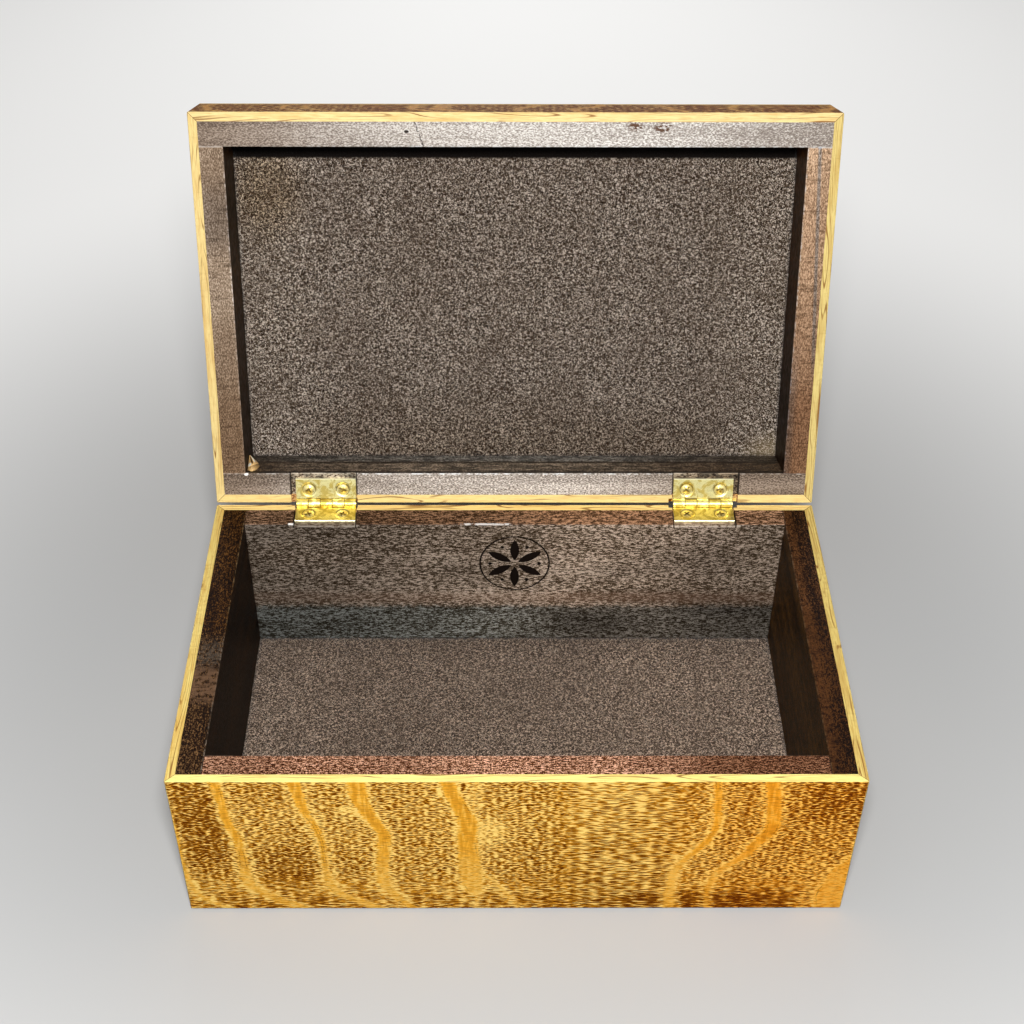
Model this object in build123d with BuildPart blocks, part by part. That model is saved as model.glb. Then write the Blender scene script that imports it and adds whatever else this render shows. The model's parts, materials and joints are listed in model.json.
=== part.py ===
from build123d import *
import math
import os

# A keepsake box: oak sides mitred round dark wood linings, felt inside and underneath, and a lid
# on two brass butt hinges. Sizes are in millimetres. The origin is the centre of the underside,
# X runs to the right, Y to the rear and Z up. The lid is drawn open, on the stops of its hinges.

# The box
box_width = 250.0
box_depth = 156.0
base_side_height = 72.5
lid_side_height = 25.0
lid_open_angle = 109.5
closed_gap = 0.5

# Boards
oak_thickness = 3.5
lining_thickness = 9.25
bottom_thickness = 7.0
top_thickness = 3.5
corner_round = 0.6
rim_round = 0.25
top_round = 0.8
lining_chamfer = 0.25

# Felts
floor_felt_thickness = 1.5
lid_felt_thickness = 1.5
foot_felt_thickness = 1.2
felt_clearance = 0.25
foot_felt_inset = 0.8

# Hinges
hinge_length = 25.0
hinge_inset = 33.5
hinge_axis_out = 0.4
leaf_width = 10.8
leaf_thickness = 1.2
leaf_sunk = 0.05
leaf_chamfer = 0.2
barrel_diameter = 3.8
knuckle_count = 5
knuckle_gap = 0.1
knuckle_clearance = 0.25
pin_diameter = 2.0
pin_running_clearance = 0.05

# The stop inside each barrel: lugs on two knuckles run in arc slots in the middle one
lug_inner_radius = 1.1
lug_outer_radius = 1.5
lug_angle = 40.0
lug_length = 0.6
slot_side_clearance = 0.1
slot_end_clearance = 0.15
slot_open_slack = 0.5
slot_closed_slack = 6.0

# Screws
screw_head_diameter = 5.0
screw_shank_diameter = 2.6
screw_length = 9.5
screw_tip_length = 2.5
screw_spacing = 14.1
screw_reach = 6.2
screw_clearance = 0.03
cross_length = 3.0
cross_width = 0.75
cross_depth = 0.7

# Mortises: how much wider the cut in the wood is than the hinge
leaf_side_clearance = 0.4
lid_mortise_slack = 1.8
barrel_clearance = 0.35
barrel_end_clearance = {"left": 0.6, "right": 1.9}

# The engraved rosette on the inner face of the base's rear lining
rosette_radius = 15.0
rosette_ring_width = 0.7
rosette_depth = 0.5
rosette_below_rim = 21.5
petal_count = 6
petal_start = 1.6
petal_end = 13.0
petal_half_width = 1.9
dot_radius = 0.8
dot_distance = 10.4

# Worked out from the sizes above
rim_height = foot_felt_thickness + base_side_height
floor_height = foot_felt_thickness + bottom_thickness
wall_thickness = oak_thickness + lining_thickness
lining_width = box_width - 2 * oak_thickness
lining_depth = box_depth - 2 * oak_thickness
opening_width = box_width - 2 * wall_thickness
opening_depth = box_depth - 2 * wall_thickness
base_lining_height = base_side_height - bottom_thickness
barrel_radius = barrel_diameter / 2
pin_radius = pin_diameter / 2
leaf_offset = closed_gap / 2 + leaf_sunk
mortise_depth = leaf_sunk + leaf_thickness
barrel_depth = barrel_radius + barrel_clearance - closed_gap / 2
barrel_pocket = barrel_radius + barrel_clearance - hinge_axis_out
knuckle_pitch = hinge_length / knuckle_count
middle_knuckle = knuckle_count // 2
slot_outer_radius = lug_outer_radius + slot_side_clearance
screw_radius = screw_shank_diameter / 2
screw_head_radius = screw_head_diameter / 2
hinge_centre = box_width / 2 - hinge_inset - hinge_length / 2

# Each hinge's place along the box, and which knuckles belong to the lid's leaf
hinge_places = {"left": -hinge_centre, "right": hinge_centre}
odd_knuckles = tuple(range(0, knuckle_count, 2))
even_knuckles = tuple(range(1, knuckle_count, 2))
lid_knuckles = {"left": even_knuckles, "right": odd_knuckles}
base_knuckles = {"left": odd_knuckles, "right": even_knuckles}
outward = {"left": -1, "right": 1}

# Reference planes. On the lid's planes X is across, Y to the rear and Z to the outside, as they
# would be with the lid closed.
open_radians = math.radians(lid_open_angle)
lid_up = Vector(0, math.sin(open_radians), math.cos(open_radians))
axis_place = Vector(0, box_depth / 2 + hinge_axis_out, rim_height + closed_gap / 2)
base_rim = Plane.XY.offset(rim_height)
base_axis = Plane(origin=axis_place, x_dir=(1, 0, 0), z_dir=(0, 0, 1))
lid_axis = Plane(origin=axis_place, x_dir=(1, 0, 0), z_dir=lid_up)
lid_rim = lid_axis.moved(Location((0, -axis_place.Y, closed_gap / 2)))

# The two halves are made alike: the sign says which way the wood lies from the rim
base_side = -1
lid_side = 1
tolerance = 0.001

pieces = {}


def turned(plane, angle):
    """The same plane, turned about its own Z."""
    return plane.moved(Location((0, 0, 0), (0, 0, angle)))


def shifted(plane, x, y=0.0, z=0.0):
    """The same plane, moved along its own X, Y and Z."""
    return plane.moved(Location((x, y, z)))


def oak_board(rim, side, turn, length, reach, height):
    """One mitred oak side: its outer face is reach from the centre, and its rim is eased."""
    level = turned(rim, turn)
    with BuildPart() as board:
        with BuildSketch(level):
            with BuildLine():
                centre_x = length / 2 - corner_round
                centre_y = corner_round - reach
                right_arc = CenterArc((centre_x, centre_y), corner_round, 270, 45)
                left_arc = CenterArc((-centre_x, centre_y), corner_round, 225, 45)
                Line(left_arc @ 1, right_arc @ 0)
                inner_x = length / 2 - oak_thickness
                inner_y = oak_thickness - reach
                Polyline(right_arc @ 1, (inner_x, inner_y), (-inner_x, inner_y), left_arc @ 0)
            make_face()
        extrude(amount=side * height)

        def on_outer_rim(edge):
            place = level.to_local_coords(edge.center())
            return abs(place.Z) < tolerance and place.Y < corner_round - reach

        fillet(board.edges().filter_by(on_outer_rim), radius=rim_round)
    return board


def lining_board(rim, side, size, place, height):
    """One lining: a plain board whose inner edge at the rim is chamfered."""
    with BuildPart() as board:
        with BuildSketch(rim):
            with Locations(place):
                Rectangle(*size)
        extrude(amount=side * height)

        def at_rim(edge):
            return abs(rim.to_local_coords(edge.center()).Z) < tolerance

        def from_centre(edge):
            return (edge.center() - rim.origin).length

        inner_edge = board.edges().filter_by(at_rim).sort_by(from_centre)[0]
        chamfer(inner_edge, length=lining_chamfer)
    return board


def leaf_mortises(rim, side):
    """The shallow cuts right across the rear wall that the leaves lie in, in plan."""
    cut_from = box_depth / 2 - wall_thickness
    cut_to = box_depth / 2
    with BuildSketch(rim) as cuts:
        for name, centre in hinge_places.items():
            slack = lid_mortise_slack if side == lid_side else 0.0
            width = hinge_length + 2 * leaf_side_clearance + slack
            with Locations((centre + outward[name] * slack / 2, (cut_from + cut_to) / 2)):
                Rectangle(width, cut_to - cut_from)
    return cuts.sketch


def barrel_notches(rim):
    """The deeper cuts in the rear oak that the barrels lie in, in plan."""
    with BuildSketch(rim) as cuts:
        for name, centre in hinge_places.items():
            width = hinge_length + 2 * barrel_end_clearance[name]
            with Locations((centre, box_depth / 2 - barrel_pocket / 2)):
                Rectangle(width, barrel_pocket)
    return cuts.sketch


def pilot_holes(rim):
    """The screws' holes in the rear lining, in plan."""
    with BuildSketch(rim) as holes:
        for centre in hinge_places.values():
            with Locations((centre, box_depth / 2 + hinge_axis_out - screw_reach)):
                with GridLocations(screw_spacing, 0, 2, 1):
                    Circle(screw_radius + screw_clearance)
    return holes.sketch


def section(frame, x):
    """The plane square to the hinge's axis at x, with its own X to the rear and its own Y up."""
    return Plane(origin=shifted(frame, x).origin, x_dir=frame.y_dir, z_dir=frame.x_dir)


def leaf_face(frame, side):
    """The plane of a leaf's bare face at its row of screws, facing away from the wood."""
    row = shifted(frame, 0, -screw_reach, side * leaf_offset)
    return Plane(origin=row.origin, x_dir=row.x_dir, z_dir=row.z_dir * -side)


def ring_sector(inner, outer, start, size):
    """A piece of a ring about the hinge's axis."""
    with BuildSketch() as ring:
        with BuildLine():
            far = CenterArc((0, 0), outer, start, size)
            near = CenterArc((0, 0), inner, start, size)
            Line(far @ 0, near @ 0)
            Line(far @ 1, near @ 1)
        make_face()
    return ring.sketch


def hinge_leaf(axis, side, centre, own_knuckles, bore_radius):
    """One leaf: a plate with countersunk holes, its knuckles, and its half of the stop."""
    frame = shifted(axis, centre)
    first_x = -hinge_length / 2
    notch_reach = barrel_radius + knuckle_clearance
    lug_from = -lug_angle / 2
    with BuildPart() as leaf:
        with BuildSketch(frame.offset(side * leaf_offset)):
            with Locations((0, -leaf_width / 2)):
                Rectangle(hinge_length, leaf_width)
        extrude(amount=side * leaf_thickness)

        def on_free_edge(edge):
            place = frame.to_local_coords(edge.center())
            return (
                abs(place.Z - side * leaf_offset) < tolerance
                and abs(place.Y + leaf_width) < tolerance
            )

        chamfer(leaf.edges().filter_by(on_free_edge), length=leaf_chamfer)
        with BuildSketch(frame.offset(side * leaf_offset)):
            for number in range(knuckle_count):
                if number not in own_knuckles:
                    middle = first_x + (number + 0.5) * knuckle_pitch
                    with Locations((middle, -notch_reach / 2)):
                        Rectangle(knuckle_pitch + knuckle_gap, notch_reach)
        extrude(amount=side * leaf_thickness, mode=Mode.SUBTRACT)
        for number in own_knuckles:
            start = first_x + number * knuckle_pitch + knuckle_gap / 2
            with BuildSketch(section(frame, start)):
                Circle(barrel_radius)
            extrude(amount=knuckle_pitch - knuckle_gap)
        with BuildSketch(section(frame, first_x)):
            Circle(bore_radius)
        extrude(amount=hinge_length, mode=Mode.SUBTRACT)

        face_from_middle = (knuckle_pitch - knuckle_gap) / 2
        lug_face = (knuckle_pitch + knuckle_gap) / 2
        for way in (-1, 1):
            if middle_knuckle in own_knuckles:
                # With the lid open, the lug is at the low end of a base leaf's slot and at the
                # high end of a lid leaf's
                start = lug_from - (slot_open_slack if side == base_side else slot_closed_slack)
                size = lug_angle + lid_open_angle + slot_open_slack + slot_closed_slack
                with BuildSketch(section(frame, way * face_from_middle)):
                    add(ring_sector(pin_radius, slot_outer_radius, start, size))
                extrude(amount=-way * (lug_length + slot_end_clearance), mode=Mode.SUBTRACT)
            else:
                start = lug_from + (lid_open_angle if side == lid_side else 0.0)
                with BuildSketch(section(frame, way * lug_face)):
                    add(ring_sector(lug_inner_radius, lug_outer_radius, start, lug_angle))
                extrude(amount=-way * lug_length)
        with Locations(leaf_face(frame, side)):
            with GridLocations(screw_spacing, 0, 2, 1):
                CounterSinkHole(
                    radius=screw_radius + screw_clearance,
                    counter_sink_radius=screw_head_radius + screw_clearance,
                    counter_sink_angle=90,
                )
    return leaf


def hinge_pin(centre):
    """The pin, as long as the barrel and flush with its ends."""
    with BuildPart() as pin:
        with BuildSketch(section(base_axis, centre - hinge_length / 2)):
            Circle(pin_radius)
        extrude(amount=hinge_length)
    return pin


def leaf_screws(axis, side, centre, turns):
    """The two countersunk cross-slot screws of a leaf, flush with its face."""
    face = leaf_face(shifted(axis, centre), side)
    head_height = screw_head_radius - screw_radius
    with BuildPart() as screws:
        for way, turn in zip((-1, 1), turns):
            seat = shifted(face, way * screw_spacing / 2)
            with BuildSketch(Plane(origin=seat.origin, x_dir=seat.x_dir, z_dir=-seat.y_dir)):
                with BuildLine():
                    Polyline(
                        (0, 0),
                        (screw_head_radius, 0),
                        (screw_radius, -head_height),
                        (screw_radius, screw_tip_length - screw_length),
                        (0, -screw_length),
                        close=True,
                    )
                make_face()
            revolve(axis=Axis(seat.origin, seat.z_dir))
            with BuildSketch(turned(seat, turn)):
                Rectangle(cross_length, cross_width)
                Rectangle(cross_width, cross_length)
            extrude(amount=-cross_depth, mode=Mode.SUBTRACT)
    return screws


# The oak sides of both halves
for where, turn in {"front": 0, "right": 90, "rear": 180, "left": 270}.items():
    length, reach = (box_width, box_depth / 2) if turn % 180 == 0 else (box_depth, box_width / 2)
    pieces[f"base_{where}_panel"] = oak_board(
        base_rim, base_side, turn, length, reach, base_side_height
    ).part
    pieces[f"lid_{where}_panel"] = oak_board(
        lid_rim, lid_side, turn, length, reach, lid_side_height
    ).part

# The linings: in the base the side ones run full depth, in the lid the front and rear ones run
# full width
across_y = (lining_depth - lining_thickness) / 2
along_x = (lining_width - lining_thickness) / 2
base_cross_size = (opening_width, lining_thickness)
base_side_size = (lining_thickness, lining_depth)
lid_cross_size = (lining_width, lining_thickness)
lid_side_size = (lining_thickness, opening_depth)
for where, way in {"front": -1, "rear": 1}.items():
    pieces[f"base_{where}_lining"] = lining_board(
        base_rim, base_side, base_cross_size, (0, way * across_y), base_lining_height
    ).part
    pieces[f"lid_{where}_lining"] = lining_board(
        lid_rim, lid_side, lid_cross_size, (0, way * across_y), lid_side_height
    ).part
for where, way in {"left": -1, "right": 1}.items():
    pieces[f"base_{where}_lining"] = lining_board(
        base_rim, base_side, base_side_size, (way * along_x, 0), base_lining_height
    ).part
    pieces[f"lid_{where}_lining"] = lining_board(
        lid_rim, lid_side, lid_side_size, (way * along_x, 0), lid_side_height
    ).part

# The rear walls are cut for the hinges and their screws
for half, rim, side in (("base", base_rim, base_side), ("lid", lid_rim, lid_side)):
    with BuildPart() as rear_panel:
        add(pieces[f"{half}_rear_panel"])
        extrude(leaf_mortises(rim, side), amount=side * mortise_depth, mode=Mode.SUBTRACT)
        extrude(barrel_notches(rim), amount=side * barrel_depth, mode=Mode.SUBTRACT)
    pieces[f"{half}_rear_panel"] = rear_panel.part
    with BuildPart() as rear_lining:
        add(pieces[f"{half}_rear_lining"])
        extrude(leaf_mortises(rim, side), amount=side * mortise_depth, mode=Mode.SUBTRACT)
        extrude(pilot_holes(rim), amount=side * (screw_length + leaf_sunk), mode=Mode.SUBTRACT)
    pieces[f"{half}_rear_lining"] = rear_lining.part

# The rosette engraved in the base's rear lining: a ring, six petals and a dot between each two
rosette_plane = Plane(
    origin=(0, opening_depth / 2, rim_height - rosette_below_rim), x_dir=(1, 0, 0), z_dir=(0, -1, 0)
)
with BuildSketch() as petal:
    with BuildLine():
        petal_middle = (petal_start + petal_end) / 2
        upper = ThreePointArc(
            (petal_start, 0), (petal_middle, petal_half_width), (petal_end, 0)
        )
        mirror(upper, about=Plane.XZ)
    make_face()
with BuildPart() as engraved_lining:
    add(pieces["base_rear_lining"])
    with BuildSketch(rosette_plane):
        Circle(rosette_radius)
        Circle(rosette_radius - rosette_ring_width, mode=Mode.SUBTRACT)
        with PolarLocations(0, petal_count, start_angle=90):
            add(petal.sketch)
        with PolarLocations(dot_distance, petal_count, start_angle=90 + 180 / petal_count):
            Circle(dot_radius)
    extrude(amount=-rosette_depth, mode=Mode.SUBTRACT)
pieces["base_rear_lining"] = engraved_lining.part

# The bottom board lies inside the oak and carries the linings
with BuildPart() as base_bottom_board:
    with BuildSketch(Plane.XY.offset(foot_felt_thickness)):
        Rectangle(lining_width, lining_depth)
    extrude(amount=bottom_thickness)
pieces["base_bottom_board"] = base_bottom_board.part

# The oak top covers the lid's sides and linings
with BuildPart() as lid_top_panel:
    with BuildSketch(lid_rim.offset(lid_side_height)):
        RectangleRounded(box_width, box_depth, corner_round)
    extrude(amount=top_thickness)
    outer_face = lid_top_panel.faces().sort_by(Axis(lid_rim.origin, lid_up))[-1]
    fillet(outer_face.edges(), radius=min(top_round, corner_round))
pieces["lid_top_panel"] = lid_top_panel.part

# The felts
felt_width = opening_width - 2 * felt_clearance
felt_depth = opening_depth - 2 * felt_clearance
with BuildPart() as base_floor_felt:
    with BuildSketch(Plane.XY.offset(floor_height)):
        Rectangle(felt_width, felt_depth)
    extrude(amount=floor_felt_thickness)
pieces["base_floor_felt"] = base_floor_felt.part

with BuildPart() as lid_felt:
    with BuildSketch(lid_rim.offset(lid_side_height)):
        Rectangle(felt_width, felt_depth)
    extrude(amount=-lid_felt_thickness)
pieces["lid_felt"] = lid_felt.part

with BuildPart() as base_foot_felt:
    with BuildSketch(Plane.XY):
        Rectangle(box_width - 2 * foot_felt_inset, box_depth - 2 * foot_felt_inset)
    extrude(amount=foot_felt_thickness)
pieces["base_foot_felt"] = base_foot_felt.part

# The hinges and their screws
cross_turns = {"left": (25, 70), "right": (45, 10)}
for name, centre in hinge_places.items():
    pieces[f"{name}_hinge_base_leaf"] = hinge_leaf(
        base_axis, base_side, centre, base_knuckles[name], pin_radius
    ).part
    pieces[f"{name}_hinge_lid_leaf"] = hinge_leaf(
        lid_axis, lid_side, centre, lid_knuckles[name], pin_radius + pin_running_clearance
    ).part
    pieces[f"{name}_hinge_pin"] = hinge_pin(centre).part
    pieces[f"{name}_base_leaf_screws"] = leaf_screws(
        base_axis, base_side, centre, cross_turns[name]
    ).part
    pieces[f"{name}_lid_leaf_screws"] = leaf_screws(
        lid_axis, lid_side, centre, cross_turns[name]
    ).part

os.makedirs("parts", exist_ok=True)
for name, piece in pieces.items():
    piece.label = name
    export_step(piece, f"parts/{name}.step")
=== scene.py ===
import json
import math

import bmesh
import bpy
from mathutils import Matrix, Vector, noise

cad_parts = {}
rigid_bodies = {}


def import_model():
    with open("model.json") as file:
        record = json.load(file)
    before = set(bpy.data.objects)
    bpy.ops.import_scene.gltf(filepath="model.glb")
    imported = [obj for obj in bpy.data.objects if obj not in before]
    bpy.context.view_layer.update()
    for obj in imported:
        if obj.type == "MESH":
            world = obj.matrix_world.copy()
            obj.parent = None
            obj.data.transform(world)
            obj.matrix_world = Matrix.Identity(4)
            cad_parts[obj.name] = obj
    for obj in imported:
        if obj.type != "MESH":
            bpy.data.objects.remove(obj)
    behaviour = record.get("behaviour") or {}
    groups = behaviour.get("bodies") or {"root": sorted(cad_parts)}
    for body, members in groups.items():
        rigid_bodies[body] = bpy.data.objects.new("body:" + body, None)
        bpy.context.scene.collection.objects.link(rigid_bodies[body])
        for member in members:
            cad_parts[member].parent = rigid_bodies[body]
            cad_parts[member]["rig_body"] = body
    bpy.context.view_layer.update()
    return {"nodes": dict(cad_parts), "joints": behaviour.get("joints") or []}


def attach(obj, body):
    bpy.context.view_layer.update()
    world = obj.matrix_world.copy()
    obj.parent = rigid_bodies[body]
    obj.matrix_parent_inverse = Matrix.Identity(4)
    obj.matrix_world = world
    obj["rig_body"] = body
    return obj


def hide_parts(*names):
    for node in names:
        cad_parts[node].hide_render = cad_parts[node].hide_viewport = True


# A keepsake box of quarter-sawn oak with dark wood linings, felt and two brass hinges.
# The frame is in metres. Patterns are worked out in millimetres, in the place that each piece
# has with the lid closed, so that they turn with the lid.
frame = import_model()
nodes = frame["nodes"]
MM = 0.001

# The hinge's axis, and how far the lid is open in the frame: the lid's top is its broadest face
axis_point = Vector(frame["joints"][0]["pos_m"]) / MM
top_normal = max(nodes["lid_top_panel"].data.polygons, key=lambda face: face.area).normal
lid_open = math.atan2(top_normal.y, top_normal.z) % math.pi
closed_to_open = (
    Matrix.Translation(axis_point) @ Matrix.Rotation(-lid_open, 4, "X")
    @ Matrix.Translation(-axis_point)
)
open_to_closed = closed_to_open.inverted()


def closed_box(name):
    """A node's lowest and highest corners with the lid closed, in millimetres."""
    spots = [vert.co / MM for vert in nodes[name].data.vertices]
    if nodes[name]["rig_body"] == "lid":
        spots = [open_to_closed @ spot for spot in spots]
    low, high = (Vector(pick(spot[i] for spot in spots) for i in range(3)) for pick in (min, max))
    return low, high


# Sizes read from the frame, in millimetres
foot_low, foot_high = closed_box("base_foot_felt")
front_low, front_high = closed_box("base_front_panel")
floor_low, floor_high = closed_box("base_floor_felt")
lid_front_low, lid_front_high = closed_box("lid_front_panel")
half_width = closed_box("lid_top_panel")[1].x
half_depth = -front_low.y
rim_height = front_high.z
lid_rim_height = lid_front_low.z
lid_under_top = lid_front_high.z
inner_half_width = closed_box("base_right_lining")[0].x
inner_half_depth = -closed_box("base_front_lining")[1].y
felt_thickness = floor_high.z - floor_low.z


class Wiring:
    """A node tree that is being wired up. A socket or a plain value goes into each input."""

    def __init__(self, tree):
        self.tree = tree

    def feed(self, socket, value):
        if isinstance(value, bpy.types.NodeSocket):
            self.tree.links.new(value, socket)
        elif socket.type == "RGBA" and len(value) == 3:
            socket.default_value = (*value, 1.0)
        else:
            socket.default_value = value

    def node(self, kind, inputs=None, **settings):
        made = self.tree.nodes.new(kind)
        for name, value in settings.items():
            setattr(made, name, value)
        for name, value in (inputs or {}).items():
            self.feed(made.inputs[name], value)
        return made

    def math(self, operation, *values):
        made = self.node("ShaderNodeMath", operation=operation)
        for socket, value in zip(made.inputs, values):
            self.feed(socket, value)
        return made.outputs[0]

    def chain(self, operation, total, *others):
        for other in others:
            total = self.math(operation, total, other)
        return total

    def plus(self, *values):
        return self.chain("ADD", *values)

    def product(self, *values):
        return self.chain("MULTIPLY", *values)

    def most(self, *values):
        return self.chain("MAXIMUM", *values)

    def less(self, value, other):
        return self.math("SUBTRACT", value, other)

    def size(self, value):
        return self.math("ABSOLUTE", value)

    def apart(self, value, other):
        """How far two values lie apart."""
        return self.size(self.less(value, other))

    def ramp(self, value, start, end, low=0.0, high=1.0):
        """A smooth step from low to high as the value goes from start to end."""
        made = self.node(
            "ShaderNodeMapRange",
            {"Value": value, "From Min": start, "From Max": end, "To Min": low, "To Max": high},
            interpolation_type="SMOOTHSTEP",
        )
        return made.outputs["Result"]

    def between(self, value, low, high, soft):
        """One from low to high and zero outside, with soft edges."""
        return self.product(
            self.ramp(value, low - soft, low + soft), self.ramp(value, high + soft, high - soft)
        )

    def mix(self, share, first, second, blend_type="MIX"):
        made = self.node("ShaderNodeMix", data_type="RGBA", blend_type=blend_type)
        for number, value in ((0, share), (6, first), (7, second)):
            self.feed(made.inputs[number], value)
        return made.outputs[2]

    def shaded(self, share, colour, factor):
        """The colour times a factor, as far as the share goes."""
        return self.mix(share, colour, factor, "MULTIPLY")

    def moved(self, vector, location=(0, 0, 0), rotation=(0, 0, 0), scale=(1, 1, 1)):
        made = self.node(
            "ShaderNodeMapping",
            {"Vector": vector, "Location": location, "Rotation": rotation, "Scale": scale},
        )
        return made.outputs[0]

    def noise(self, vector, scale=1.0, detail=2.0, roughness=0.5, distortion=0.0):
        inputs = {
            "Vector": vector, "Scale": scale, "Detail": detail, "Roughness": roughness,
            "Distortion": distortion,
        }
        return self.node("ShaderNodeTexNoise", inputs).outputs[0]

    def grain(self, vector, scale, detail=2.0, roughness=0.5):
        """Noise that is as fine along each axis as its scale says."""
        return self.noise(self.moved(vector, scale=scale), 1.0, detail, roughness)

    def parts(self, vector):
        return self.node("ShaderNodeSeparateXYZ", {"Vector": vector}).outputs

    def spot(self, x, y, centre, reach):
        """Distance from a centre in the plane, as a share of the spot's two half widths."""
        across = self.math("DIVIDE", self.less(x, centre[0]), reach[0])
        along = self.math("DIVIDE", self.less(y, centre[1]), reach[1])
        return self.math("SQRT", self.plus(self.product(across, across), self.product(along, along)))

    def effect(self, name, **inputs):
        made = self.node("ShaderNodeGroup", node_tree=bpy.data.node_groups[name])
        for label, value in inputs.items():
            self.feed(made.inputs[label.replace("_", " ").capitalize()], value)
        return made.outputs


def new_effect(name, inputs, outputs):
    """A shader group with a place, named inputs and outputs, ready to be wired."""
    tree = bpy.data.node_groups.new(name, "ShaderNodeTree")
    tree.interface.new_socket("Place", in_out="INPUT", socket_type="NodeSocketVector")
    for label, value in inputs.items():
        kind = "NodeSocketFloat" if isinstance(value, float) else "NodeSocketColor"
        socket = tree.interface.new_socket(label, in_out="INPUT", socket_type=kind)
        socket.default_value = value if isinstance(value, float) else (*value, 1.0)
    for label in outputs:
        kind = "NodeSocketColor" if label == "Colour" else "NodeSocketFloat"
        tree.interface.new_socket(label, in_out="OUTPUT", socket_type=kind)
    w = Wiring(tree)
    given = w.node("NodeGroupInput").outputs
    return w, given, given["Place"], w.node("NodeGroupOutput").inputs


# Shared effects

def make_dash_effect():
    """The level of the grain: short staggered dashes, or long straight ones where it is calm."""
    w, given, place, result = new_effect("grain_dashes", {"Calm": 0.0}, ["Level"])
    restless = w.less(1.0, given["Calm"])
    along, _, lift = w.parts(place)
    # The rows of dashes rise and fall in long, short and very short waves
    for scale, rise, share in (
        ((0.05, 0.05, 0.03), 3.0, 1.0), ((0.15, 0.2, 0.12), 2.4, restless), ((0.36, 0.5, 0.50), 0.6, 1.0),
    ):
        wave = w.less(w.grain(place, scale, 1.0), 0.5)
        lift = w.plus(lift, w.product(wave, share, rise))
    flat = w.node("ShaderNodeCombineXYZ", {"X": along, "Y": lift}).outputs[0]
    level = 0.5
    for length, height, share, rough in ((2.5, 0.66, restless, 0.68), (5.0, 0.62, given["Calm"], 0.50)):
        cell = w.moved(flat, scale=(1 / length, 1 / height, 1))
        dashes = w.node(
            "ShaderNodeTexVoronoi", {"Vector": cell, "Scale": 1.0, "Randomness": 0.8},
            voronoi_dimensions="2D",
        ).outputs["Distance"]
        grain = w.grain(flat, (1.1 / length, 1.5 / height, 1))
        dash = w.product(w.less(0.41, dashes), 0.40)
        dash = w.plus(dash, w.product(w.less(grain, 0.5), rough))
        level = w.plus(level, w.product(dash, share))
    w.feed(result["Level"], level)


def make_oak_face_effect():
    """A quarter-sawn face: golden wood, dark pores, and ray ribbons that cross the grain."""
    tones = {
        "Pale": (1.0, 0.71, 0.20), "Gold": (0.65, 0.27, 0.014), "Dark": (0.105, 0.020, 0.0),
        "Ray": (0.93, 0.45, 0.036), "Core": (0.70, 0.30, 0.018),
    }
    shares = {"Ribbon distance": 10.0, "Calm": 0.0, "Shade": 0.0, "Fade": 0.0}
    w, given, place, result = new_effect(
        "oak_face", {**shares, **tones}, ["Colour", "Roughness", "Height"]
    )
    away = given["Ribbon distance"]
    fringe = w.grain(place, (0.22, 0.5, 2.4))
    ragged = w.plus(away, w.product(w.less(fringe, 0.5), 5.0))
    ribbon = w.product(w.ramp(ragged, 0.4, -0.4), w.ramp(given["Fade"], 0.0, 1.0, 1.0, 0.6))
    level = w.effect("grain_dashes", place=place, calm=given["Calm"])["Level"]
    patches = w.grain(place, (0.03, 0.03, 0.045))
    level = w.plus(level, w.product(w.less(patches, 0.5), 0.09), given["Shade"])
    level = w.less(level, w.product(w.ramp(ragged, 3.4, 0.3), 0.06))
    fine = w.grain(place, (0.30, 2.6, 3.6), 2.0, 0.6)
    dark = w.product(w.ramp(level, 0.511, 0.553), w.ramp(fine, 0.25, 0.60, 0.66, 1.0))
    pale = w.product(w.ramp(level, 0.479, 0.429), w.ramp(fine, 0.35, 0.62, 0.60, 1.0))
    gold = w.mix(w.ramp(fine, 0.35, 0.70, 0.0, 0.25), given["Gold"], given["Dark"])
    wood = w.mix(dark, w.mix(pale, gold, given["Pale"]), given["Dark"])
    streaks = w.grain(place, (0.7, 0.5, 0.12))
    inside = w.product(w.ramp(away, -0.3, -1.6), w.ramp(given["Fade"], 0.0, 1.0, 0.8, 0.1))
    ray = w.mix(w.product(inside, w.ramp(streaks, 0.36, 0.60)), given["Ray"], given["Core"])
    ray = w.mix(w.ramp(streaks, 0.48, 0.34, 0.0, 0.22), ray, given["Pale"])
    ray = w.mix(w.ramp(fine, 0.42, 0.64, 0.0, 0.46), ray, given["Dark"])
    colour = w.mix(ribbon, wood, ray)
    # Here and there a ribbon is edged by a thin dark line
    elsewhere = w.moved(place, location=(7, 0, 2), scale=(0.05, 0.05, 0.05))
    edged = w.ramp(w.noise(elsewhere, 1.0, 1.0), 0.53, 0.60)
    outline = w.ramp(w.size(w.plus(away, w.product(fringe, 1.6))), 0.34, 0.10)
    outline = w.product(outline, edged, w.ramp(fine, 0.36, 0.56), 0.65)
    w.feed(result["Colour"], w.mix(outline, colour, given["Dark"]))
    open_wood = w.less(1.0, ribbon)
    w.feed(result["Roughness"], w.plus(0.46, w.product(dark, open_wood, 0.2)))
    w.feed(result["Height"], w.product(dark, open_wood, -0.08))


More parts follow.
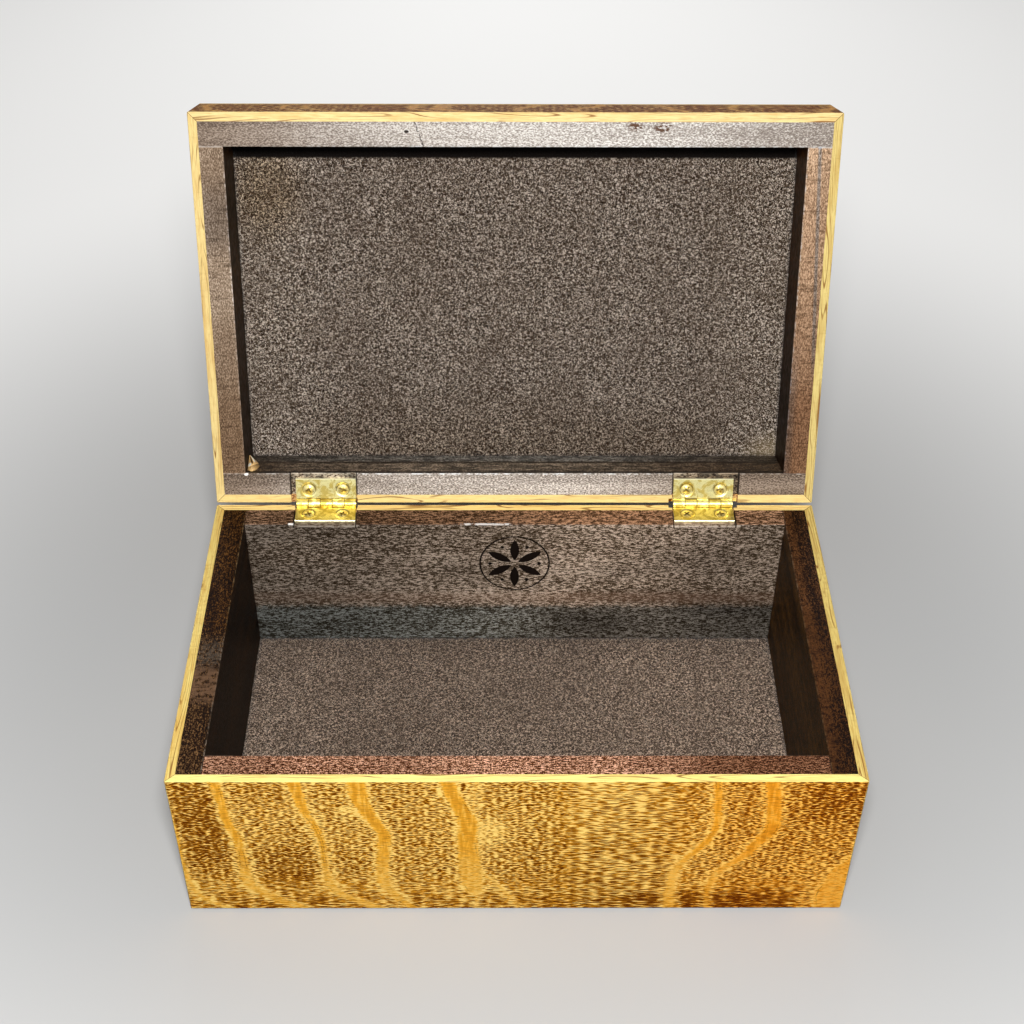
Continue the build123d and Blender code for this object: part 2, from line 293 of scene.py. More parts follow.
def make_oak_edge_effect():
    """The pale cut edge of an oak board, with long thin lines that drift across it."""
    tones = {"Pale": (0.88, 0.66, 0.24), "Warm": (0.72, 0.36, 0.07), "Line": (0.22, 0.085, 0.018)}
    w, given, place, result = new_effect("oak_edge", tones, ["Colour", "Height"])
    drift = w.grain(place, (0.012, 0.16, 0.16), 1.0)
    contour = w.math("FRACT", w.product(drift, 13.0))
    line = w.ramp(w.apart(contour, 0.5), 0.13, 0.03)
    strength = w.ramp(w.grain(place, (0.02, 0.5, 0.5)), 0.38, 0.58)
    blotch = w.ramp(w.grain(place, (0.035, 0.35, 0.35), 3.0), 0.46, 0.68)
    grain = w.ramp(w.grain(place, (0.16, 2.4, 2.4), 3.0, 0.6), 0.42, 0.70)
    colour = w.mix(w.product(blotch, 0.45), given["Pale"], given["Warm"])
    colour = w.mix(w.product(grain, 0.55), colour, given["Warm"])
    w.feed(result["Colour"], w.mix(w.product(line, strength, 0.85), colour, given["Line"]))
    w.feed(result["Height"], w.product(grain, -0.03))


def make_lining_effect():
    """Dark, close-grained lining wood: bands, short fibres along the grain and small flecks."""
    tones = {"Dark": (0.03, 0.018, 0.012), "Mid": (0.10, 0.06, 0.04), "Light": (0.22, 0.15, 0.11)}
    shares = {"Speckle": 0.5, "Contrast": 1.0, "Bands": 0.3}
    w, given, place, result = new_effect(
        "lining_wood", {**tones, **shares}, ["Colour", "Roughness", "Height"]
    )
    bands = w.grain(place, (0.008, 0.13, 0.13), 3.0, 0.55)
    fibres = w.grain(place, (0.36, 1.7, 1.7), 2.0, 0.6)
    flecks = w.grain(place, (1.2, 2.3, 2.3), 2.0, 0.65)
    calm = w.less(1.0, given["Speckle"])
    level = w.plus(w.product(fibres, calm), w.product(flecks, given["Speckle"]))
    level = w.plus(level, w.product(w.less(bands, 0.5), given["Bands"]))
    middle = 0.505
    level = w.plus(middle, w.product(w.less(level, middle), given["Contrast"]))
    colour = w.mix(w.ramp(level, 0.40, 0.51), given["Dark"], given["Mid"])
    w.feed(result["Colour"], w.mix(w.ramp(level, 0.50, 0.62), colour, given["Light"]))
    w.feed(result["Roughness"], w.ramp(fibres, 0.3, 0.7, 0.40, 0.54))
    w.feed(result["Height"], w.product(w.plus(fibres, flecks), 0.06))


def make_felt_effect():
    """Heathered wool felt: fine specks of light and dark wool over a soft cloudy ground."""
    tones = {"Dark": (0.02, 0.014, 0.010), "Mid": (0.13, 0.095, 0.068), "Light": (0.50, 0.44, 0.38)}
    w, given, place, result = new_effect("heathered_felt", tones, ["Colour", "Height"])
    specks = w.noise(place, 1.68, 2.0, 0.6, 0.6)
    curls = w.noise(w.moved(place, location=(31, 17, 5)), 1.36, 2.0, 0.6, 1.2)
    clouds = w.noise(place, 0.04, 3.0)
    colour = w.mix(w.ramp(specks, 0.44, 0.54), given["Dark"], given["Mid"])
    colour = w.mix(w.ramp(curls, 0.51, 0.61), colour, given["Light"])
    w.feed(result["Colour"], w.mix(w.ramp(clouds, 0.35, 0.7, 0.0, 0.25), colour, given["Mid"]))
    w.feed(result["Height"], w.product(w.plus(specks, curls), 0.40))


def make_brass_effect():
    """Handled brass: fine scratches along the leaf, tarnished clouds and small dull spots."""
    tones = {"Bright": (0.95, 0.82, 0.40), "Dull": (0.62, 0.47, 0.14)}
    w, given, place, result = new_effect("worn_brass", tones, ["Colour", "Roughness", "Height"])
    brushed = w.grain(place, (0.4, 6.0, 6.0), 3.0, 0.6)
    clouds = w.noise(place, 0.30, 4.0, 0.62, 0.6)
    spots = w.ramp(w.noise(place, 1.1, 3.0, 0.6), 0.60, 0.70)
    dull = w.most(w.ramp(clouds, 0.43, 0.58, 0.0, 0.9), w.product(spots, 0.9))
    w.feed(result["Colour"], w.mix(dull, given["Bright"], given["Dull"]))
    rough = w.ramp(brushed, 0.3, 0.7, 0.26, 0.38)
    w.feed(result["Roughness"], w.plus(rough, w.product(dull, 0.12)))
    w.feed(result["Height"], w.product(w.plus(brushed, clouds), 0.012))


def make_raw_cut_effect():
    """Rough pale wood where a mortise was cut, broken across by dark fibres."""
    tones = {"Pale": (0.60, 0.53, 0.44), "Brown": (0.09, 0.055, 0.035)}
    w, given, place, result = new_effect("raw_cut", tones, ["Colour"])
    torn = w.grain(place, (0.75, 1.3, 1.3), 3.0, 0.65)
    w.feed(result["Colour"], w.mix(w.ramp(torn, 0.44, 0.55), given["Brown"], given["Pale"]))


for make in (
    make_dash_effect, make_oak_face_effect, make_oak_edge_effect, make_lining_effect,
    make_felt_effect, make_brass_effect, make_raw_cut_effect,
):
    make()


# Materials

def new_material(name, plain=None):
    """A material, its wiring and its shader's inputs. What is the same all over is set here."""
    material = bpy.data.materials.new(name)
    material.use_nodes = True
    material.node_tree.nodes.clear()
    w = Wiring(material.node_tree)
    shader = w.node("ShaderNodeBsdfPrincipled", plain)
    w.node("ShaderNodeOutputMaterial", {"Surface": shader.outputs[0]})
    return material, w, shader.inputs


def closed_place(w, half):
    """Where the surface lies with the lid closed, in millimetres, for a piece of that half."""
    here = w.node("ShaderNodeTexCoord").outputs["Object"]
    to_mm = (1 / MM,) * 3
    if half == "base":
        return w.moved(here, scale=to_mm)
    shift = axis_point - Matrix.Rotation(lid_open, 3, "X") @ axis_point
    return w.moved(here, location=shift, rotation=(lid_open, 0, 0), scale=to_mm)


def along_board(w, place, way):
    """Board coordinates: X along the grain, Z across the broad face, Y through the board."""
    turns = {"across": (0, 0, 0), "side": (0, 0, -math.pi / 2), "top": (math.pi / 2, 0, 0)}
    return w.moved(place, rotation=turns[way])


def bumped(w, shader, height):
    """Gives the shader the relief of a height in millimetres."""
    bump = w.node("ShaderNodeBump", {"Height": height, "Distance": MM, "Strength": 1.0})
    w.feed(shader["Normal"], bump.outputs[0])


def from_rim(w, z, half):
    """How far the surface is from the half's rim."""
    return w.less(rim_height, z) if half == "base" else w.less(z, lid_rim_height)


# The ribbons on the front board, each as points (height, place along the board, half width)
front_ribbons = [
    [(0, -80.0, 3.8), (4, -86.5, 3.6), (7, -91, 3.2), (11, -96.5, 2.7), (15, -100.2, 2.3),
     (22, -101.6, 2.1), (38, -102.1, 1.6), (46, -103.2, 1.7), (52, -105.2, 1.7), (60, -106.0, 1.7),
     (74, -107.3, 1.9)],
    [(0, -52.0, 3.4), (6, -60.5, 2.6), (9, -66, 2.2), (14, -69.6, 1.9), (22, -71.0, 1.4),
     (38, -71.6, 1.2), (46, -72.6, 1.3), (58, -76.6, 1.7), (66, -78.0, 2.1), (74, -79.5, 2.6)],
    [(0, -38.0, 2.4), (4, -42.4, 2.0), (9, -46, 1.9), (15, -49.4, 2.2), (22, -50.3, 2.4),
     (38, -48.9, 2.3), (45, -48.7, 2.3), (50, -50.7, 2.4), (57, -54.0, 2.8), (64, -56.2, 3.2),
     (74, -57.2, 3.2)],
    [(0, -15.0, 0.0), (8.5, -15.4, 0.0), (11.5, -15.8, 3.0), (16, -16.6, 3.9), (27, -17.5, 4.1),
     (36, -17.9, 3.8), (44, -18.1, 3.6), (51, -17.8, 3.6), (59, -20.0, 3.2), (66, -22.8, 2.8),
     (74, -24.8, 2.6)],
    [(0, 59.0, 2.1), (11, 58.5, 1.9), (19, 58.7, 1.5), (25, 60.0, 1.5), (31, 63.3, 1.4),
     (37, 67.7, 1.6), (43, 70.9, 1.3), (49, 72.6, 1.3), (58, 72.5, 1.4), (74, 71.1, 1.5)],
    [(0, 73.4, 1.1), (13, 72.9, 1.0), (19, 74.2, 1.4), (24, 76.3, 1.6), (28, 80.3, 1.7),
     (32, 84.4, 2.0), (38, 87.5, 2.3), (43, 91.0, 2.7), (49, 93.3, 2.7), (58, 92.9, 2.6),
     (74, 90.4, 2.3)],
    [(0, 130.0, 14.0), (9, 130.0, 16.0), (17, 130.0, 13.5), (24, 130.0, 11.3), (31, 130.0, 6.0),
     (40, 130.0, 2.0), (74, 130.0, 0.0)],
    [(0, -106.0, 1.3), (3.7, -114.6, 1.3), (6.8, -118.6, 1.1), (11.5, -121.4, 1.0),
     (17.5, -123.2, 1.0), (25.5, -124.2, 0.9), (50, -125.0, 0.7), (74, -126.5, 0.4)],
    [(0, 2.4, 0.6), (3.5, 0.0, 0.6), (14.3, -6.3, 0.5), (22.4, -12.5, 0.4), (30, -14.5, 0.0),
     (74, -14.5, 0.0)],
]
ribbon_top = 80.0
ribbon_span = 2 * half_width + 40.0
widest_ribbon = 20.0

# A pale arc turns off the third ribbon: its centre and half widths
arc_centre = (-62.5, 44.0)
arc_reach = (11.5, 14.5)


def curve_of(w, height, points):
    """A smooth value over the height of the board, from zero to one."""
    curve = w.node("ShaderNodeFloatCurve", {"Value": height})
    spots = curve.mapping.curves[0].points
    curve.mapping.extend = "HORIZONTAL"
    for number, spot in enumerate(points):
        if number < len(spots):
            spots[number].location = spot
        else:
            spots.new(*spot)
    curve.mapping.update()
    return curve.outputs[0]


def placed_ribbons(w, x, z):
    """Distance to the nearest of the front board's ribbons, below zero inside one."""
    height = w.math("DIVIDE", z, ribbon_top)
    nearest = 50.0
    for path in front_ribbons:
        places = [(up / ribbon_top, 0.5 + along / ribbon_span) for up, along, _ in path]
        widths = [(up / ribbon_top, half / widest_ribbon) for up, _, half in path]
        centre = w.product(w.less(curve_of(w, height, places), 0.5), ribbon_span)
        half = w.product(curve_of(w, height, widths), widest_ribbon)
        nearest = w.math("MINIMUM", nearest, w.less(w.apart(x, centre), half))
    return nearest


def front_calm(w, x, z):
    """Long straight lines in the middle and along the foot of the front board."""
    return w.most(w.between(x, 18.0, 62.0, 9.0), w.product(w.ramp(z, 26.0, 12.0), 0.7))


def front_shade(w, x, z):
    """The front board is darker at its upper left, left of centre and along its foot."""
    on_arc = w.ramp(w.apart(w.spot(x, z, arc_centre, arc_reach), 1.0), 0.20, 0.06)
    return w.plus(
        w.product(w.ramp(x, -102.0, -112.0), w.ramp(z, 12.0, 40.0), 0.070),
        w.product(w.ramp(w.spot(x, z, (-84.0, 26.0), (12.0, 14.0)), 1.3, 0.4), 0.05),
        w.product(w.ramp(z, 12.0, 5.0), w.between(x, -110.0, 104.0, 6.0), 0.025),
        w.product(w.ramp(x, 96.0, 112.0), w.ramp(z, 40.0, 62.0), 0.05),
        w.product(w.between(x, 20.0, 50.0, 8.0), w.ramp(z, 30.0, 50.0), -0.03),
        w.product(w.between(x, 60.0, 106.0, 3.0), w.ramp(z, 14.0, 10.0), 0.040),
        w.product(w.ramp(w.spot(x, z, (49.0, 6.5), (9.0, 5.0)), 1.2, 0.5), 0.055),
        w.product(on_arc, w.ramp(z, 46.0, 50.0), w.ramp(x, -66.0, -62.0), -0.10),
        w.product(w.ramp(w.spot(x, z, (-9.0, 46.0), (7.0, 9.0)), 1.2, 0.4), -0.07),
    )


def grown_ribbons(w, board, seed):
    """Distance to the nearest of a row of uneven ribbons, for the boards that face away."""
    ribbon_pitch = 26.0
    x, _, z = w.parts(board)
    wander = w.noise(w.moved(board, location=(seed, 0, 0), scale=(0.012, 0, 0.03)), 1.0, 2.0)
    line = w.plus(x, seed, w.product(wander, 60.0), w.product(z, 0.15))
    cells = w.node(
        "ShaderNodeTexVoronoi",
        {"W": w.math("DIVIDE", line, ribbon_pitch), "Scale": 1.0, "Randomness": 0.75},
        voronoi_dimensions="1D",
    )
    width = w.ramp(w.grain(board, (0.03, 0, 0.02), 1.0), 0.3, 0.7, 0.6, 3.0)
    return w.less(w.product(cells.outputs["Distance"], ribbon_pitch), width)


# Where the mortises lie: each hinge's leaves, how far the paler wood reaches past their ends nearer
# to the middle and further from it, and the gaps beside a leaf
leaf_boxes = {side: closed_box(f"{side}_hinge_lid_leaf") for side in ("left", "right")}
mortise_before = 1.2
mortise_beyond = 2.3
leaf_side_gap = 0.4
lid_mortise_slack = 1.8


def in_mortise(w, x, depth):
    """Where the surface lies in a mortise: below the rim by its depth, beside a hinge."""
    low, high = leaf_boxes["right"]
    beside = w.between(w.size(x), low.x - mortise_before, high.x + mortise_beyond, 0.15)
    return w.product(beside, w.ramp(depth, 0.35, 0.6), w.ramp(depth, 1.9, 1.4))


# The cut edge of each board: pale and warm tones
edge_tones = {
    "base_front_panel": ((0.97, 0.82, 0.27), (0.74, 0.50, 0.13)),
    "base_rear_panel": ((0.98, 0.72, 0.27), (0.74, 0.45, 0.12)),
    "base_left_panel": ((0.78, 0.60, 0.19), (0.58, 0.31, 0.06)),
    "base_right_panel": ((0.72, 0.55, 0.17), (0.42, 0.22, 0.05)),
    "lid_front_panel": ((0.88, 0.68, 0.31), (0.62, 0.36, 0.10)),
    "lid_left_panel": ((0.80, 0.62, 0.26), (0.55, 0.30, 0.08)),
    "lid_right_panel": ((0.72, 0.57, 0.21), (0.48, 0.28, 0.07)),
    "lid_rear_panel": ((0.88, 0.68, 0.28), (0.66, 0.42, 0.13)),
    "lid_top_panel": ((0.74, 0.56, 0.20), (0.52, 0.29, 0.07)),
}


def oak_face(w, name, x, z, board, grain, seed):
    """The broad face of a board. The front one has its ribbons where the real one has them."""
    if name == "base_front_panel":
        return w.effect(
            "oak_face", place=grain, ribbon_distance=placed_ribbons(w, x, z),
            calm=front_calm(w, x, z), shade=front_shade(w, x, z), fade=w.ramp(z, 44.0, 16.0),
        )
    return w.effect(
        "oak_face", place=grain, ribbon_distance=grown_ribbons(w, board, seed),
        calm=w.ramp(w.grain(grain, (0.012, 0.012, 0.02), 1.0), 0.48, 0.62),
        # The lid's front board has more dark grain, partly painted shade
        shade=0.08 if name == "lid_front_panel" else 0.0,
    )


def oak_material(name, half, way, seed):
    """One oak board: figured faces, pale worn edges and the dark line of the mitres."""
    material, w, shader = new_material(name, {"Specular IOR Level": 0.03})
    place = closed_place(w, half)
    x, y, z = w.parts(place)
    board = along_board(w, place, way)
    grain = w.moved(board, location=(seed * 1.7, seed, 0))
    face = oak_face(w, name, x, z, board, grain, seed)
    colour = face["Colour"]
    # The lid's front board is darker: partly its own tone, partly painted shade
    if name == "lid_front_panel":
        colour = w.shaded(1.0, colour, (0.70, 0.64, 0.54))
    if name == "base_front_panel":
        colour = w.shaded(w.ramp(x, 35.0, 95.0), colour, (1.05, 0.87, 0.60))
    pale, warm = edge_tones[name]
    edge = w.effect("oak_edge", place=grain, pale=pale, warm=warm)
    # The cut edge starts at the rim, and wear has brought a little of it round the arris
    wear = w.noise(place, 0.5, 3.0, 0.65)
    depth = from_rim(w, z, half)
    side_x = w.less(half_width, w.size(x))
    side_y = w.less(half_depth, w.size(y))
    worn_corner = w.ramp(w.less(w.most(side_x, side_y), w.product(wear, 1.0)), 0.10, -0.35)
    colour = w.mix(w.product(worn_corner, 0.8), colour, edge["Colour"])
    if way == "top":
        # The long edges of the top show lines along the grain
        at_edge = w.ramp(w.math("MINIMUM", side_x, side_y), 0.12, 0.04)
        colour = w.mix(at_edge, colour, w.shaded(1.0, edge["Colour"], (0.84, 0.72, 0.50)))
    else:
        at_rim = w.ramp(w.less(depth, w.product(wear, 0.5)), 0.05, -0.12)
        colour = w.mix(at_rim, colour, edge["Colour"])
        mitre = w.ramp(w.apart(side_x, side_y), 0.22, 0.05, 0.0, 0.85)
        colour = w.mix(mitre, colour, (0.10, 0.04, 0.01))
    if name.endswith("rear_panel"):
        raw = w.effect("raw_cut", place=place, pale=(0.62, 0.36, 0.14), brown=(0.22, 0.09, 0.03))
        colour = w.mix(in_mortise(w, x, depth), colour, raw["Colour"])
    w.feed(shader["Base Color"], colour)
    w.feed(shader["Roughness"], face["Roughness"])
    bumped(w, shader, w.plus(face["Height"], edge["Height"]))
    return material


# The engraved rosette on the base's rear lining, burnt dark: its centre and reach
rosette_below_rim = 21.5
rosette_reach = 15.6
char_black = (0.006, 0.004, 0.003)

# How much darker the linings are on the faces that look into the box: painted shade
painted_inner_shade = {
    "lid_left_lining": (0.10, 0.065, 0.030),
    "lid_right_lining": (0.075, 0.045, 0.018),
    "lid_rear_lining": (0.32, 0.28, 0.23),
    "base_left_lining": (0.20, 0.16, 0.10),
    "base_right_lining": (0.80, 0.90, 0.50),
}

# How each board's tones change along its length: the factors on its tones where it is
# dull and where it is pale, and how pale it is, as points (place in mm, share). On the lid's
# front and rear linings the pale middle is a painted sheen.
sheen_and_tone_along = {
    "lid_front_lining": (
        (0.74, 0.68, 0.62), (1.68, 1.90, 2.10),
        ((-120, 0.0), (-100, 0.1), (-70, 0.5), (-40, 0.75), (10, 0.92), (55, 1.0), (85, 0.84), (120, 0.6)),
    ),
    "lid_rear_lining": (
        (0.80, 0.75, 0.70), (2.10, 2.35, 2.60),
        ((-120, 0.0), (-106, 0.1), (-92, 0.45), (-55, 0.8), (-30, 1.0), (5, 1.0), (30, 0.85), (60, 0.42),
         (95, 0.04), (120, 0.0)),
    ),
    "lid_left_lining": (
        (0.70, 0.56, 0.44), (1.95, 2.00, 2.05),
        ((-78, 0.5), (-60, 0.42), (-40, 0.18), (-12, 0.68), (5, 0.35), (24, 0.22), (42, 0.05), (78, 0.04)),
    ),
    "lid_right_lining": (
        (0.54, 0.42, 0.35), (1.36, 1.36, 1.38),
        ((-78, 1.0), (-60, 0.95), (-46, 0.66), (-24, 0.62), (0, 0.40), (24, 0.22), (38, 0.0), (78, 0.0)),
    ),
    "base_front_lining": (
        (0.43, 0.37, 0.31), (1.47, 1.59, 1.78),
        ((-120, 0.55), (-92, 0.43), (-74, 0.72), (-43, 0.45), (-5, 0.86), (20, 0.6), (32, 0.78),
         (46, 0.42), (61, 0.34), (70, 0.05), (120, 0.05)),
    ),
    "base_rear_lining": (
        (0.60, 0.59, 0.58), (1.60, 1.50, 1.42),
        ((-120, 0.0), (-75, 0.12), (-40, 0.38), (0, 0.55), (35, 1.0), (60, 0.92), (85, 0.55), (120, 0.35)),
    ),
}
tone_span = 250.0

# The inner face of the base's rear lining is also paler or darker in places:
# centre and half widths across and up, and the factor there
rear_face_patches = (
    ((-6.0, 33.0), (26.0, 8.0), 1.22),
    ((56.0, 33.0), (34.0, 6.0), 0.58),
    ((92.0, 30.0), (28.0, 8.0), 0.58),
    ((-6.0, 18.0), (24.0, 10.0), 1.4),
    ((34.0, 18.0), (24.0, 9.0), 0.62),
    ((74.0, 52.0), (28.0, 12.0), 0.72),
    ((98.0, 20.0), (20.0, 14.0), 0.95),
    ((-88.0, 57.0), (24.0, 8.0), 1.40),
    ((42.0, 47.0), (16.0, 6.0), 0.76),
    ((-22.0, 49.0), (14.0, 6.0), 0.82),
)

# Two tones of each half: a worn arris and a board's end there, which in the lid are also pale as
# a painted highlight, and the raw wood of a mortise and its whitened arris
arris_wear_and_highlight_tones = {
    "base": ((0.20, 0.155, 0.115), (0.02, 0.01, 0.008)),
    "lid": ((0.50, 0.45, 0.40), (0.50, 0.45, 0.40)),
}
mortise_tones = {
    "base": ((0.32, 0.26, 0.20), (0.46, 0.40, 0.33)),
    "lid": ((0.62, 0.55, 0.46), (0.90, 0.84, 0.76)),
}

# A pale chip and a worn line on the arris of the base's rear lining, both partly a painted highlight:
# where each starts and ends
edge_chip_and_glint = (-94.0, -91.4)
edge_line_and_glint = (-22.0, -2.0)


class LiningPlace:
    """Where a spot of a lining lies: its place, and how far from the rim, arris and ends."""

    def __init__(self, w, place, half, where):
        self.place = place
        self.x, self.y, self.z = w.parts(place)
        self.depth = from_rim(w, self.z, half)
        self.broken = w.noise(place, 0.5, 3.0, 0.65)
        if where in ("front", "rear"):
            self.along, across = self.x, self.y
            end, arris = inner_half_width, inner_half_depth
        else:
            self.along, across = self.y, self.x
            end, arris = inner_half_depth, inner_half_width
        self.inward = w.less(w.size(across), arris)
        self.from_end = w.less(end, w.size(self.along))


def arris_wear_and_highlight(w, at, half, where, colour):
    """Rubbed arrises, and the joint at the ends of the boards that stand between the others; in the lid
    both are pale as a painted highlight too.
    """
    arris_wear_and_highlight_tone, end_tone = arris_wear_and_highlight_tones[half]
    # The arris is paler where rubbed, and in the lid a painted highlight too
    arris_wear_and_glint = w.ramp(w.plus(at.depth, at.inward), 0.55, 0.25)
    arris_wear_and_glint = w.product(arris_wear_and_glint, w.ramp(at.broken, 0.46, 0.62, 0.05, 0.9))
    colour = w.mix(arris_wear_and_glint, colour, arris_wear_and_highlight_tone)
    if (where in ("left", "right")) == (half == "lid"):
        joint = w.product(w.ramp(at.from_end, 0.32, 0.12), w.ramp(at.broken, 0.35, 0.55, 0.3, 1.0))
        colour = w.mix(joint, colour, end_tone)
    return colour


def mortises(w, at, half, colour):
    """Raw wood in the mortises, whitened at the arris, and a painted shadow line in the gap at each of
    their ends.
    """
    raw, whitest = mortise_tones[half]
    cut = in_mortise(w, at.x, at.depth)
    colour = w.mix(cut, colour, w.effect("raw_cut", place=at.place, pale=raw)["Colour"])
    whitened = w.product(cut, w.ramp(at.inward, 0.9, 0.3), w.ramp(at.broken, 0.40, 0.52))
    colour = w.mix(whitened, colour, whitest)
    low, high = leaf_boxes["right"]
    slack = lid_mortise_slack if half == "lid" else 0.0
    # A painted shadow line in the gap beside each end of a leaf
    for end in (low.x - leaf_side_gap, high.x + leaf_side_gap + slack):
        beside = w.apart(w.size(at.x), end)
        end_gap_shadow = w.product(w.ramp(beside, 0.42, 0.22, 0.0, 0.9), w.ramp(at.depth, 2.2, 1.8))
        colour = w.mix(end_gap_shadow, colour, (0.02, 0.013, 0.008))
    return colour


def base_rear_face(w, at, colour):
    """A slate band along the floor, paler and darker patches, and the burnt rosette."""
    wavy = w.plus(at.z, w.product(w.less(at.broken, 0.5), 5.0))
    cool = w.mix(w.ramp(at.x, -25.0, 35.0), (0.58, 0.74, 0.86), (0.37, 0.42, 0.46))
    colour = w.shaded(w.ramp(wavy, 29.5, 26.5), colour, cool)
    for centre, reach, factor in rear_face_patches:
        colour = w.shaded(w.ramp(w.spot(at.x, at.z, centre, reach), 1.4, 0.2), colour, (factor,) * 3)
    warm = w.product(w.between(wavy, 30.0, 36.0, 2.5), 0.25)
    colour = w.mix(warm, colour, (0.17, 0.095, 0.06))
    away = w.spot(at.x, at.z, (0.0, rim_height - rosette_below_rim), (rosette_reach, rosette_reach))
    cut = w.ramp(at.y, inner_half_depth + 0.04, inner_half_depth + 0.12)
    return w.mix(w.product(w.ramp(away, 1.02, 0.98), cut), colour, char_black)


def base_left_top(w, at, colour):
    """Darker towards the hinges, with a brown patch and a grey one in front of the middle."""
    on_top = w.ramp(at.depth, 1.0, 0.3)
    colour = w.shaded(w.product(on_top, w.ramp(at.y, -6.0, 4.0)), colour, (0.78, 0.64, 0.41))
    patch = w.product(w.between(at.y, -38.0, -20.0, 4.0), on_top, w.ramp(at.broken, 0.38, 0.54), 0.75)
    colour = w.mix(patch, colour, (0.150, 0.082, 0.045))
    grey = w.product(w.between(at.y, -19.0, -6.0, 4.5), on_top, w.ramp(at.broken, 0.36, 0.60), 0.50)
    return w.mix(grey, colour, (0.110, 0.086, 0.064))


def base_right_top(w, at, colour):
    """Darker towards the front, with a ruddy stripe along its inner side."""
    on_top = w.ramp(at.depth, 1.0, 0.3)
    colour = w.shaded(on_top, colour, (0.82, 0.81, 0.72))
    colour = w.shaded(w.product(on_top, w.ramp(at.y, 16.0, 8.0)), colour, (0.58, 0.53, 0.42))
    inner_side = w.ramp(at.x, inner_half_width + 4.2, inner_half_width + 2.6)
    stripe = w.product(inner_side, on_top, w.ramp(at.broken, 0.36, 0.60), 0.4)
    return w.mix(stripe, colour, (0.12, 0.045, 0.014))


def lid_front_face(w, at, colour):
    """Two clusters of small brown pits, a knot and a hair crack beside it."""
    pits = w.ramp(w.spot(at.x, at.y, (45.7, -72.8), (3.6, 1.9)), 1.2, 0.5)
    pits = w.most(pits, w.ramp(w.spot(at.x, at.y, (56.4, -72.5), (4.4, 2.3)), 1.2, 0.5))
    holes = w.ramp(w.grain(at.place, (0.8, 1.3, 1.3)), 0.47, 0.53)
    colour = w.mix(w.product(pits, holes), colour, (0.055, 0.022, 0.010))
    knot = w.ramp(w.spot(at.x, at.y, (-41.8, -70.9), (1.0, 0.6)), 1.1, 0.7)
    line = w.plus(w.product(at.y, -0.35), w.product(w.less(at.broken, 0.5), 3.0))
    off_line = w.apart(w.plus(at.x, line), -12.6)
    crack = w.product(w.ramp(off_line, 0.34, 0.14), w.ramp(at.broken, 0.34, 0.44), 0.9)
    return w.mix(w.most(knot, crack), colour, (0.012, 0.006, 0.004))


def lid_left_face(w, at, colour):
    """A cooler stretch in its front half."""
    return w.shaded(w.between(at.y, -50.0, -28.0, 8.0), colour, (0.92, 1.02, 1.17))


def lid_right_face(w, at, colour):
    """A cool stripe drifts outwards along the board, and the inner side has gone grey."""
    drift = w.less(at.x, w.product(w.plus(at.y, 62.0), 0.046))
    stripe = w.between(drift, inner_half_width + 4.1, inner_half_width + 5.4, 0.3)
    colour = w.shaded(w.product(stripe, w.ramp(at.y, 30.0, 10.0)), colour, (0.62, 0.78, 1.05))
    inner_side = w.ramp(at.x, inner_half_width + 4.0, inner_half_width + 1.0)
    return w.shaded(w.product(inner_side, w.ramp(at.y, 5.0, 35.0)), colour, (0.72, 0.84, 1.05))


def lid_rear_face(w, at, colour):
    """The deep end is cool grey past a dark line, the arris is black, and one speck is white."""
    facing_in = w.ramp(at.inward, 0.3, 0.1)
    deep = w.product(w.ramp(at.depth, 15.5, 17.5), facing_in)
    colour = w.shaded(deep, colour, (0.80, 0.95, 1.15))
    uneven = w.plus(at.depth, w.product(w.less(at.broken, 0.5), 2.0))
    lines = w.most(w.between(uneven, 14.2, 16.4, 0.5), w.between(uneven, 0.9, 3.2, 0.4))
    colour = w.mix(w.product(lines, 0.75, facing_in), colour, char_black)
    speck = w.ramp(w.spot(at.x, at.y, (-111.9, inner_half_depth + 0.3), (0.9, 0.7)), 1.2, 0.7)
    return w.mix(w.product(speck, w.ramp(at.depth, 1.0, 0.5)), colour, (1.0, 0.97, 0.92))


def base_rear_top(w, at, colour):
    """A ruddy top, paler at its ends, with the chip and the worn line on its arris, both partly a painted
    highlight.
    """
    on_top = w.ramp(at.depth, 0.5, 0.1)
    colour = w.shaded(on_top, colour, (0.84, 0.58, 0.41))
    ends = w.product(on_top, w.ramp(w.size(at.x), 84.0, 98.0))
    colour = w.shaded(ends, colour, (1.55, 1.60, 1.70))
    at_edge = w.ramp(w.plus(at.depth, at.inward), 0.8, 0.4)
    chip_and_glint = w.product(w.between(at.x, *edge_chip_and_glint, 0.3), at_edge)
    line = w.product(w.between(at.x, *edge_line_and_glint, 1.0), at_edge, w.ramp(at.broken, 0.38, 0.52), 0.7)
    return w.mix(w.most(chip_and_glint, line), colour, (0.85, 0.81, 0.76))


# What sets each lining apart, before its tones change along its length and after
early_details = {
    "base_rear_lining": base_rear_face, "base_left_lining": base_left_top,
    "base_right_lining": base_right_top, "lid_front_lining": lid_front_face,
    "lid_left_lining": lid_left_face, "lid_right_lining": lid_right_face,
}
late_details = {"base_rear_lining": base_rear_top, "lid_rear_lining": lid_rear_face}


